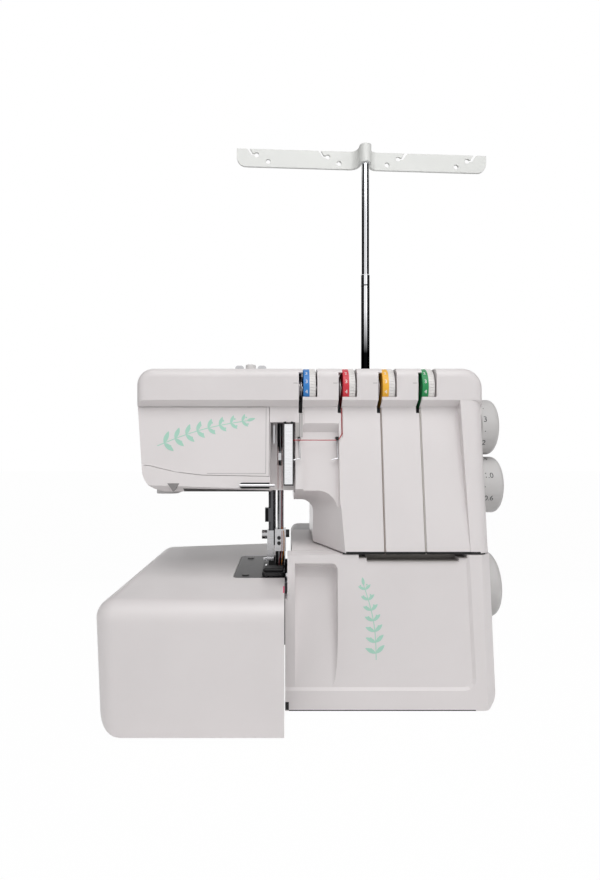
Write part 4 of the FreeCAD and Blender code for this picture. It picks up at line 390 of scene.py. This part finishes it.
def paint():
    """Give every CAD node its material."""
    looks = [
        (moulded("white_moulding", (226, 221, 221)),
         "base_shell front_housing rear_housing face_cover looper_cover extension_table"),
        (moulded("stand_moulding", (186, 184, 185), 0.55), "spool_stand"),
        (rubber("black_rubber", (34, 34, 35)), "rubber_feet table_feet drive_belt"),
        (cast("base_paint", (120, 120, 122)), "base_plate"),
        (cast("frame_casting", (124, 124, 126)), "machine_frame free_arm"),
        (steel("plate_steel", (150, 146, 147), 0.34, (12, 1, 1)),
         "hinge_brackets tension_bracket tension_discs"),
        (steel("needle_plate_steel", (44, 42, 43), 0.42, (1, 12, 1)), "needle_plate"),
        (steel("ground_steel", (196, 196, 198)),
         "cover_hinge_rod casing_screws main_shaft needle_rocker needle_clamp needles take_up_lever "
         "upper_looper lower_looper upper_knife lower_knife feed_dog_diff feed_dog_main tension_rod "
         "thread_guides"),
        (steel("chrome_plate", (236, 236, 238), 0.1), "take_up_cover"),
        # The bright part of the presser bar is darkened steel, a painted dark reflection; its black block
        # left of the plane is the part's own colour.
        (two_tone("presser_painted_reflection", (92, 92, 95), (26, 26, 27), at(PRESSER_LEFT, 0, 0).x), "presser_bar"),
        (cast("screw_black", (40, 40, 42)), "clamp_screws"),
        (steel("plate_screw_steel", (70, 68, 68), 0.4), "needle_plate_screws"),
        (steel("holder_steel", (188, 188, 190), 0.24), "foot_holder"),
        (steel("needle_bar_steel", (150, 150, 153), 0.16), "needle_bar"),
        (cast("black_oxide", (44, 44, 45)), "presser_foot motor"),
        (moulded("lifter_paint", (196, 194, 194), 0.5), "lifter_lever"),
        (lens("lamp_lens"), "lamp"),
        (moulded("control_moulding", (196, 194, 193), 0.5, 700), "handwheel stitch_dial diff_dial"),
        (moulded("knob_moulding", (222, 220, 219), 0.45), "pressure_knob"),
        (moulded("pulley_nylon", (48, 48, 50), 0.6), "main_pulley motor_pulley"),
        # The pole tubes carry painted reflection: chrome colour that darkens towards the bottom, to near
        # black on the lower tube.
        (plated("upper_chrome_painted_fade", (214, 215, 218), (222, 223, 226), *UPPER_SHADE_SPAN), "antenna_upper_tube"),
        (plated("lower_chrome_painted_reflection", (10, 11, 12), (238, 239, 242), *LOWER_SHADE_SPAN), "antenna_lower_tube"),
        (moulded("guide_moulding", (224, 225, 222), 0.4), "thread_guide_plate"),
        (moulded("pin_moulding", (205, 204, 204), 0.5), "spool_pins"),
        (rubber("foam_pad", (70, 70, 72)), "spool_cushions"),
        (moulded("black_moulding", (40, 40, 41), 0.5), "power_inlet power_switch"),
        (thread_mat("sewing_thread"), "threads"),
    ]
    for i, rgb in enumerate(DIAL_COLOURS):
        band_end = DIAL_FIRST + DIAL_PITCH * i + BAND_W
        looks.append((dial(f"dial_{i + 1}", rgb, at(band_end, 0, 0).x), f"tension_dial_{i + 1}"))
    missing = set(NODES)
    for mat, names in looks:
        for name in names.split():
            mesh = NODES[name].data
            mesh.materials.clear()
            mesh.materials.append(mat)
            missing.remove(name)
    if missing:
        raise RuntimeError(f"no material: {sorted(missing)}")


def seen_factor(nodes, links):
    """One where the ray comes from the camera, a mirror or a clear piece."""
    path = nodes.new("ShaderNodeLightPath")
    last = path.outputs["Is Camera Ray"]
    for name in ("Is Glossy Ray", "Is Transmission Ray"):
        more = nodes.new("ShaderNodeMath")
        more.operation = "MAXIMUM"
        links.new(last, more.inputs[0])
        links.new(path.outputs[name], more.inputs[1])
        last = more.outputs[0]
    return last


def floor_sheet():
    """White paper that stays white to the camera and keeps a pale shadow."""
    bpy.ops.mesh.primitive_plane_add(size=FLOOR_SIZE, location=(0, 0, 0))
    floor = bpy.context.object
    floor.name = "floor"
    t = Tree("floor_paper", 0.9)
    t.color(t.ramp(t.noise(3, 2), linear((242, 242, 242)), linear((248, 248, 248))))
    glow = t.add("ShaderNodeEmission", Strength=1.0)
    mix = t.add("ShaderNodeMixShader")
    t.link(t.value(seen_factor(t.nodes, t.links), 0.0, FLOOR_GLOW), mix.inputs["Fac"])
    t.link(t.shader.outputs["BSDF"], mix.inputs[1])
    t.link(glow.outputs["Emission"], mix.inputs[2])
    t.link(mix.outputs["Shader"], t.nodes["Material Output"].inputs["Surface"])
    floor.data.materials.append(t.mat)


def card(name, place, turn, width, height, seen):
    """Dark studio card that only the named kinds of ray meet."""
    bpy.ops.mesh.primitive_plane_add(size=1, location=place, rotation=(math.pi / 2, 0, turn))
    sheet = bpy.context.object
    sheet.name = name
    sheet.scale = (width, height, 1)
    t = Tree(name + "_cloth", 0.95)
    t.color(t.ramp(t.noise(40, 3), linear((14, 14, 14)), linear((22, 22, 22))))
    sheet.data.materials.append(t.mat)
    for ray in ("camera", "diffuse", "glossy", "transmission", "shadow"):
        setattr(sheet, "visible_" + ray, ray in seen)


def sky():
    """White surround that is bright to the camera and dim as a light."""
    world = bpy.context.scene.world or bpy.data.worlds.new("studio")
    bpy.context.scene.world = world
    world.use_nodes = True
    nodes, links = world.node_tree.nodes, world.node_tree.links
    back = nodes["Background"]
    back.inputs["Color"].default_value = (1, 1, 1, 1)
    links.new(span(nodes, links, seen_factor(nodes, links), WORLD_LIGHT, 1.0), back.inputs["Strength"])


def area_lamp(name, place, width, height, watts):
    """Soft lamp that looks at the machine."""
    data = bpy.data.lights.new(name, "AREA")
    data.shape = "RECTANGLE"
    data.size = width
    data.size_y = height
    data.energy = watts
    lamp = bpy.data.objects.new(name, data)
    bpy.context.scene.collection.objects.link(lamp)
    lamp.location = place
    lamp.rotation_euler = (LAMP_AIM - lamp.location).to_track_quat("-Z", "Y").to_euler()


def camera():
    """Level camera with the photograph's focal length and shift."""
    cam = bpy.data.cameras.new("photo_camera")
    cam.lens = PHOTO_FOCAL / PHOTO_LONG * SENSOR
    cam.sensor_width = SENSOR
    cam.shift_x, cam.shift_y = (shift / PHOTO_LONG for shift in PHOTO_SHIFT)
    cam.clip_start = 0.01
    obj = bpy.data.objects.new("photo_camera", cam)
    bpy.context.scene.collection.objects.link(obj)
    obj.location = at(*CAMERA)
    obj.rotation_euler = (math.pi / 2, 0, 0)
    bpy.context.scene.camera = obj


def studio():
    """Pale floor, cards, soft light and the camera of the photograph."""
    floor_sheet()
    for row in CARDS:
        card(*row)
    sky()
    for row in LAMPS:
        area_lamp(*row)
    camera()
    bpy.context.scene.view_settings.view_transform = "Standard"


def piece(name, verts, faces, mat, body):
    """A mesh piece in machine millimetres that rides on a body."""
    mesh = bpy.data.meshes.new(name)
    mesh.from_pydata([at(*v) for v in verts], [], faces)
    mesh.update()
    obj = bpy.data.objects.new(name, mesh)
    bpy.context.scene.collection.objects.link(obj)
    mesh.materials.append(mat)
    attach(obj, body)
    return obj


def smooth(obj):
    obj.data.polygons.foreach_set("use_smooth", [True] * len(obj.data.polygons))
    return obj


def shifted(rows, by):
    """Faces whose corner numbers start at another corner."""
    return [[by + i for i in row] for row in rows]


def blocks(name, spans, mat, body, bevel):
    """Small bevelled bars given by their lowest and highest corners."""
    verts, faces = [], []
    for lo, hi in spans:
        faces += shifted(((0, 2, 3, 1), (4, 5, 7, 6), (0, 1, 5, 4), (2, 6, 7, 3), (0, 4, 6, 2), (1, 3, 7, 5)),
                         len(verts))
        verts += [(x, y, z) for z in (lo[2], hi[2]) for y in (lo[1], hi[1]) for x in (lo[0], hi[0])]
    obj = piece(name, verts, faces, mat, body)
    soft = obj.modifiers.new("edge", "BEVEL")
    soft.width = bevel / 1000
    soft.segments = 2


def glyphs(name, labels, mat, body, axis, radius, size):
    """Numbers wrapped round a drum that turns about X; labels hold text, X and angle."""
    verts, faces = [], []
    for text, x, angle in labels:
        curve = bpy.data.curves.new("glyph", "FONT")
        curve.body = text
        curve.size = size
        curve.align_x = "CENTER"
        curve.align_y = "CENTER"
        curve.resolution_u = 6
        curve.extrude = GLYPH_THICK
        probe = bpy.data.objects.new("glyph", curve)
        mesh = bpy.data.meshes.new_from_object(probe)
        faces += shifted([p.vertices for p in mesh.polygons], len(verts))
        for v in mesh.vertices:
            turn = math.radians(angle) + v.co.y / radius
            reach = radius + GLYPH_GAP + v.co.z
            verts.append((x + v.co.x, axis[0] - reach * math.cos(turn), axis[1] + reach * math.sin(turn)))
        bpy.data.objects.remove(probe)
        bpy.data.curves.remove(curve)
        bpy.data.meshes.remove(mesh)
    piece(name, verts, faces, mat, body)


def ribs(name, x0, x1, axis, radius, mat, body):
    """Ring of grip ribs round a drum that turns about X."""
    verts, faces = [], []
    step = 2 * math.pi / RIB_COUNT
    outline = ((-RIB_SHARE / 2, -RIB_SINK), (-RIB_SHARE / 4, RIB_RISE),
               (RIB_SHARE / 4, RIB_RISE), (RIB_SHARE / 2, -RIB_SINK))
    for k in range(RIB_COUNT):
        faces += shifted(((0, 1, 5, 4), (1, 2, 6, 5), (2, 3, 7, 6), (0, 3, 2, 1), (4, 5, 6, 7)), len(verts))
        for x in (x0, x1):
            for part, reach in outline:
                turn = (k + part) * step
                r = radius + reach
                verts.append((x, axis[0] - r * math.cos(turn), axis[1] + r * math.sin(turn)))
    piece(name, verts, faces, mat, body)


def lathe(name, centres, profile, mat, body, sides=72):
    """Closed rings turned about upright axes from a profile of radius and height."""
    verts, faces = [], []
    rows = len(profile)
    for cx, cy in centres:
        n = len(verts)
        for k in range(sides):
            turn = 2 * math.pi * k / sides
            verts += [(cx + r * math.cos(turn), cy + r * math.sin(turn), z) for r, z in profile]
        for k in range(sides):
            a, b = n + k * rows, n + (k + 1) % sides * rows
            faces += [[a + i, b + i, b + (i + 1) % rows, a + (i + 1) % rows] for i in range(rows)]
    return smooth(piece(name, verts, faces, mat, body))


def power(value, rate):
    """A power that keeps the sign."""
    return math.copysign(abs(value) ** rate, value)


def spool_pads():
    """Four soft foam rings with a crowned top that lie round the spool pins."""
    low, high = (corner[2] * 1000 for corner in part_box("spool_cushions"))
    mid_r, half_r = (PAD_R + PAD_HOLE) / 2, (PAD_R - PAD_HOLE) / 2
    mid_z, half_z = (low + high) / 2, (high - low) / 2
    profile = []
    for k in range(PAD_STEPS):
        turn = 2 * math.pi * k / PAD_STEPS
        profile.append((mid_r + half_r * power(math.cos(turn), PAD_SIDE),
                        mid_z + half_z * power(math.sin(turn), PAD_CROWN)))
    foam = lathe("spool_pads", SPOOLS, profile, rubber("spool_foam", (70, 70, 72)), "frame")
    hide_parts("spool_cushions")


def tube(name, runs, radius, mat, body, sides=8):
    """Round threads along rows of points, with square ends."""
    verts, faces = [], []
    for run in runs:
        points = [Vector(p) for p in run]
        start = len(verts)
        for i, point in enumerate(points):
            ahead = points[min(i + 1, len(points) - 1)] - points[max(i - 1, 0)]
            across = ahead.cross(ASIDE).normalized()
            up = ahead.cross(across).normalized()
            for k in range(sides):
                turn = 2 * math.pi * k / sides
                verts.append(point + radius * (across * math.cos(turn) + up * math.sin(turn)))
        for i in range(len(points) - 1):
            a = start + i * sides
            for k in range(sides):
                after = (k + 1) % sides
                faces.append([a + k, a + after, a + sides + after, a + sides + k])
        faces.append([start + k for k in reversed(range(sides))])
        faces.append([len(verts) - sides + k for k in range(sides)])
    smooth(piece(name, verts, faces, mat, body))


def bent(points, share=0.25, steps=5):
    """The same run with its corners eased by short curves."""
    rows = [Vector(p) for p in points]
    out = [rows[0]]
    for before, corner, after in zip(rows, rows[1:], rows[2:]):
        start = corner.lerp(before, share)
        end = corner.lerp(after, share)
        for k in range(steps + 1):
            t = k / steps
            out.append(start.lerp(corner, t).lerp(corner.lerp(end, t), t))
    return out + [rows[-1]]


def needle_threads():
    """Threads that run down the needle bar, over the clamp and into the needles."""
    front = NEEDLE_Y - BAR_R - BAR_GAP
    over = CLAMP_FRONT - CLAMP_GAP
    low_y = NEEDLE_Y - NEEDLE_GAP
    red = plain_thread("thread_red", (150, 44, 52))
    amber = plain_thread("thread_amber", (196, 120, 34))
    for name, mat, needle, side, top, radius in (("needle_thread_red", red, -1.3, 1.4, 226.0, 0.28),
                                                 ("needle_thread_amber", amber, 1.3, 3.2, 139.0, 0.4)):
        x, bar_x, eye_x = NEEDLE_X + side, NEEDLE_X + BAR_SIDE, NEEDLE_X + needle
        run = bent([(bar_x, front, top), (bar_x, front, CLAMP_TOP + OVER_CLAMP),
                    (x, over, CLAMP_TOP - UNDER_CLAMP), (x, over, CLAMP_LOW),
                    (eye_x, low_y, THREAD_BEND), (eye_x, low_y, THREAD_FOOT)])
        tube(name, [run], radius, mat, "needle_bar")


def slope_y(z):
    """Depth of the sloping front of the head and column."""
    return FACE_FOOT + (FACE_HEAD - FACE_FOOT) * (z - FACE_LOW) / (FACE_HIGH - FACE_LOW)


def channel_y(z):
    """Depth of the shallow channel under the first thread slot."""
    return slope_y(z) + CHANNEL_DEEP


def panel_y(_):
    """Depth of the sunk field of the looper cover."""
    return PANEL_Y


def cover_y(_):
    """Depth of the rim of the looper cover."""
    return COVER_Y


def film(name, shapes, depth, mat, body="frame"):
    """Thin closed films on a front face; shapes are outlines in X and Z, and neighbours are stepped."""
    verts, faces = [], []
    for index, shape in enumerate(shapes):
        n, count = len(verts), len(shape)
        for lift in (FILM_LIFT + FILM_STEP * (index % FILM_STEPS), -FILM_SINK):
            verts += [(x, depth(z) - lift, z) for x, z in shape]
        faces.append([n + i for i in range(count)])
        faces.append([n + count + i for i in reversed(range(count))])
        for i in range(count):
            after = (i + 1) % count
            faces.append([n + i, n + count + i, n + count + after, n + after])
    piece(name, verts, faces, mat, body)


def leaf(foot, length, width, angle):
    """Outline of a pointed leaf."""
    along = Vector((math.cos(angle), math.sin(angle)))
    across = Vector((-along.y, along.x))
    out = []
    for side, order in ((1, range(LEAF_STEPS + 1)), (-1, range(LEAF_STEPS - 1, 0, -1))):
        for k in order:
            t = k / LEAF_STEPS
            bulge = math.sin(math.pi * t) ** 0.8 * (1.15 - 0.3 * t)
            out.append(tuple(Vector(foot) + along * length * t + across * side * width / 2 * bulge))
    return out


def sprig(start, end, bow, pairs, length):
    """Garland: a bowed stem with facing leaves that get smaller to its tip, and berries between."""
    a, b = Vector(start), Vector(end)
    run = b - a
    side = Vector((-run.y, run.x)).normalized()
    lean = math.atan2(run.y, run.x)

    def on(t):
        return a + run * t + side * bow * math.sin(math.pi * t)

    steps = [k / STEM_STEPS for k in range(STEM_STEPS + 1)]
    stem = [tuple(on(t) + side * STEM_HALF) for t in steps]
    stem += [tuple(on(t) - side * STEM_HALF) for t in reversed(steps)]
    shapes = [stem, leaf(on(1), length * TIP_LONG, length * TIP_WIDE, lean)]
    turns = [2 * math.pi * i / BERRY_SIDES for i in range(BERRY_SIDES)]
    for k in range(pairs):
        t = (k + LEAF_AT) / pairs
        size = length * (1.0 - TAPER * t)
        for turn in (1, -1):
            shapes.append(leaf(on(t), size, size * LEAF_WIDE, lean + turn * LEAF_LEAN))
        centre = on(t + BERRY_AT / pairs)
        for turn in (1, -1):
            spot = centre + side * turn * size * BERRY_OUT
            shapes.append([tuple(spot + Vector((math.cos(q), math.sin(q))) * size * BERRY_R) for q in turns])
    return shapes


def prints():
    """Plain leaf garlands in mint on the head and on the looper cover."""
    mint = moulded("print_mint", (170, 213, 196), 0.4, vary=4)
    film("head_print", sprig(*HEAD_SPRIG), slope_y, mint)
    film("cover_print", sprig(*COVER_SPRIG), panel_y, mint, "looper_cover")


def screw_slots():
    """Driver slots in the heads of the screws that show, drawn as dark blocks: painted shade of the slots."""
    dark = cast("driver_slot_painted_shade", (30, 30, 31))
    front, back = CASING_SLOT_Y
    spans = [((x - dx, front, z - dz), (x + dx, back, z + dz))
             for dx, dz in ((SLOT_LONG, SLOT_WIDE), (SLOT_WIDE, SLOT_LONG)) for x, z in CASING_SCREWS]
    blocks("casing_screw_slots", spans, dark, "frame", bevel=0.05)
    low, high = PLATE_SLOT_Z
    heads = [((x - SLOT_LONG, y - SLOT_WIDE, low), (x + SLOT_LONG, y + SLOT_WIDE, high))
             for x, y in PLATE_SCREWS]
    blocks("plate_screw_slots", heads, dark, "frame", bevel=0.05)


def shield_trim():
    """Dark strips on the edges, sill and prongs of the take-up cover, painted shade like shadow gaps round
    it.
    """
    black = cast("shield_painted_shade", (30, 30, 31))
    front, low, high = SHIELD_FRONT, SHIELD_LOW, SHIELD_HIGH
    first, last = EDGE_LEFTS
    spans = [((left, front, low), (left + EDGE_W, EDGE_BACK, high + EDGE_RISE)) for left in EDGE_LEFTS]
    spans.append(((first, front, low - SILL_DROP), (last + EDGE_W, EDGE_BACK, low + SILL_RISE)))
    spans += [((left, front, high), (left + PRONG_W, PRONG_BACK, high + PRONG_RISE)) for left in PRONG_LEFTS]
    blocks("shield_trim", spans, black, "frame", bevel=0.2)


def pill(left, right, low, high, steps=8):
    """Outline of a bar with a round left end."""
    r = (high - low) / 2
    turns = [math.pi / 2 + math.pi * k / steps for k in range(steps + 1)]
    end = [(left + r + r * math.cos(q), low + r + r * math.sin(q)) for q in turns]
    return [(right, low), (right, high)] + end


def strip(left, right, low, high):
    """Outline of a plain bar."""
    return [(left, low), (right, low), (right, high), (left, high)]


def seams():
    """Painted shade and painted shadow in the gaps, slot, notch and foot line that show between the covers,
    grey joint lines on the face cover and a pink mark on the table.
    """
    # Black for the painted shade and painted shadow in the bar slot, at the cover's foot and corner and in
    # the column gap.
    black = rubber("gap_painted_shade", (26, 26, 27))
    # Painted shade where the slot round the bar under the head shows dark.
    film("bar_slot_painted_shade", [pill(*BAR_SLOT_SHADE)], slope_y, black)
    grey = moulded("seam_grey", (168, 165, 165), 0.5)
    film("face_lines", [strip(*line) for line in FACE_LINES], slope_y, grey)
    # Painted shadow along the foot of the looper cover.
    film("cover_foot_painted_shadow", [strip(*COVER_FOOT_SHADOW)], cover_y, black, "looper_cover")
    # Painted shade in the gap at the lower left corner of the looper cover.
    film("cover_corner_painted_shade", [strip(*COVER_CORNER_SHADE)], cover_y, black, "looper_cover")
    # Painted shade in the shadow gap between the column and the looper cover.
    blocks("column_painted_shadow_gap", COLUMN_SHADOW_GAP, black, "frame", bevel=0.1)
    # Grey painted shade inside the notch of the looper cover.
    notch_shade_paint = moulded("notch_shade", (176, 171, 168), 0.6)
    blocks("looper_notch_painted_shade", NOTCH_SHADE_BLOCKS, notch_shade_paint, "looper_cover", bevel=0.02)
    pink = moulded("seam_pink", (226, 92, 128), 0.45)
    blocks("table_mark", TABLE_MARK, pink, "extension_table", bevel=0.02)


def channel():
    """Painted shade in and beside the channel under the first thread slot, and the threads beside the take-up
    lever.
    """
    film("zone_shade", [strip(*ZONE_SHADE)], slope_y, moulded("zone_painted_shade", (182, 178, 176), 0.55))
    film("channel_edge", [strip(*CHANNEL_EDGE)], slope_y, moulded("channel_edge_painted_shade", (158, 155, 155), 0.55))
    film("channel_floor", [strip(*CHANNEL_FLOOR)], channel_y, moulded("channel_floor_painted_shade", (184, 181, 180), 0.55))
    runs = [bent([(NEEDLE_X + side, y, z) for y, z in TAKE_UP_RUN]) for side in TAKE_UP_SIDES]
    tube("take_up_threads", runs, TAKE_UP_R, plain_thread("thread_pale", (226, 204, 203)), "frame")


def chin():
    """Painted shade of the sloping chin under the head: a grey triangle in its notch and a dark band along
    its lower lip.
    """
    front = slope_y(HEAD_LOW)
    notch = [(NOTCH_X - NOTCH_HALF, HEAD_LOW + NOTCH_TOP), (NOTCH_X + NOTCH_HALF, HEAD_LOW + NOTCH_TOP),
             (NOTCH_X, HEAD_LOW + NOTCH_FOOT)]
    piece("chin_notch", [(x, front + deep, z) for deep in NOTCH_DEPTHS for x, z in notch],
          [[0, 2, 1], [3, 4, 5], [0, 1, 4, 3], [1, 2, 5, 4], [2, 0, 3, 5]],
          moulded("chin_notch_painted_shade", (138, 135, 135), 0.5), "frame")
    verts, faces = [], []
    for k in range(CHIN_PARTS + 1):
        x = CHIN_LEFT + (CHIN_RIGHT - CHIN_LEFT) * k / CHIN_PARTS
        rise = CHIN_RISE + (CHIN_END - CHIN_RISE) * (x - CHIN_START) / (CHIN_STOP - CHIN_START)
        for share in LIP_SHARES:
            for lift in (LIP_HALF, -LIP_HALF):
                verts.append((x, front + CHIN_RUN * share - lift, HEAD_LOW + rise * (1 - share) - lift))
    for k in range(CHIN_PARTS):
        faces += shifted(((0, 2, 6, 4), (1, 5, 7, 3), (0, 4, 5, 1), (2, 3, 7, 6)), 4 * k)
    last = 4 * CHIN_PARTS
    faces += [[0, 1, 3, 2], [last, last + 2, last + 3, last + 1]]
    piece("chin_line", verts, faces, rubber("chin_painted_shade", (70, 68, 68)), "frame")


def pole_ring(name, heights, rise, mat):
    """Thin ring round the lower antenna tube."""
    reach = (-RING_SINK, rise, rise, -RING_SINK)
    profile = [(POLE_R + out, POLE_TOP + height) for out, height in zip(reach, heights)]
    lathe(name, [POLE], profile, mat, "frame", POLE_SIDES)


def pole_rings():
    """Painted highlight ring on the rolled end and painted shade ring in the stop groove of the lower antenna
    tube.
    """
    pole_ring("pole_rim", RIM, RIM_RISE, moulded("ring_painted_highlight", (236, 236, 238), 0.3))
    pole_ring("pole_groove", GROOVE, GROOVE_RISE, cast("ring_painted_shade", (46, 46, 47)))


def foot_detail():
    """Crown, spring and heel of the presser foot, and the black heads of the hook wires."""
    black = cast("foot_black", (30, 30, 31))
    bright = steel("foot_spring_steel", (206, 206, 208), 0.24)
    blocks("foot_crown", FOOT_CROWN, black, "presser_bar", bevel=1.3)
    blocks("foot_spring", FOOT_SPRING, bright, "presser_bar", bevel=0.3)
    blocks("foot_heel", FOOT_HEEL, black, "presser_bar", bevel=0.8)
    face = slope_y(HOOK_Z)
    heads = [((x - HOOK_HALF, face - HOOK_FRONT, HOOK_Z - HOOK_DROP),
              (x + HOOK_HALF, face + HOOK_BACK, HOOK_Z + HOOK_RISE)) for x in HOOKS]
    blocks("hook_heads", heads, black, "frame", bevel=0.3)


def tension_dials():
    """Numbers, grip ribs and index marks of the four tension dials."""
    ink = moulded("ink_white", (240, 240, 238), 0.45)
    grip = moulded("dial_grip", DIAL_WHITE)
    axis = (DIAL_Y, DIAL_Z)
    marks = []
    for i, slot in enumerate(DIAL_SLOTS):
        left = DIAL_FIRST + DIAL_PITCH * i
        body = f"tension_dial_{i + 1}"
        text_x = left + BAND_W / 2 + TEXT_NUDGE
        labels = [(str(n), text_x, DIAL_SHOWN - (n - FACING) * DIAL_STEP) for n in range(10)]
        glyphs(f"dial_numbers_{i + 1}", labels, ink, body, axis, DIAL_R, DIAL_TEXT)
        ribs(f"dial_ribs_{i + 1}", left + BAND_W + RIB_FROM_BAND, left + DIAL_W - RIB_FROM_END, axis, DIAL_R,
             grip, body)
        edge = left - MARK_GAP
        marks.append(((edge - MARK_FAR, MARK_Y[0], MARK_Z[0]), (edge - MARK_NEAR, MARK_Y[1], MARK_Z[1])))
    blocks("index_marks", marks, moulded("index_mark", (150, 148, 147), 0.5), "frame", bevel=0.02)


def side_dials():
    """Numbers and dots of the stitch-length and differential dials."""
    ink = moulded("ink_grey", (58, 60, 62), 0.5)
    labels = [(str(n), STITCH_X, STITCH_SHOWN + (n - FACING) * STITCH_STEP) for n in range(1, 5)]
    labels += [("\u00b7", STITCH_X, STITCH_SHOWN + (n + 0.5 - FACING) * STITCH_STEP) for n in range(1, 5)]
    glyphs("stitch_numbers", labels, ink, "stitch_dial", STITCH_AXIS, STITCH_R, STITCH_TEXT)
    feeds = ("0.6", "1.0", "1.4", "1.8")
    labels = [(text, FEED_X, FEED_SHOWN + (n - 1) * FEED_STEP) for n, text in enumerate(feeds)]
    labels += [("\u00b7", FEED_DOT_X, FEED_SHOWN + (n - 0.5) * FEED_STEP) for n in range(4)]
    glyphs("feed_numbers", labels, ink, "diff_dial", FEED_AXIS, FEED_R, FEED_TEXT)


def dress():
    """Small surface detail that rides on the CAD bodies."""
    spool_pads()
    needle_threads()
    prints()
    screw_slots()
    shield_trim()
    seams()
    channel()
    chin()
    pole_rings()
    foot_detail()
    tension_dials()
    side_dials()


paint()
dress()
studio()
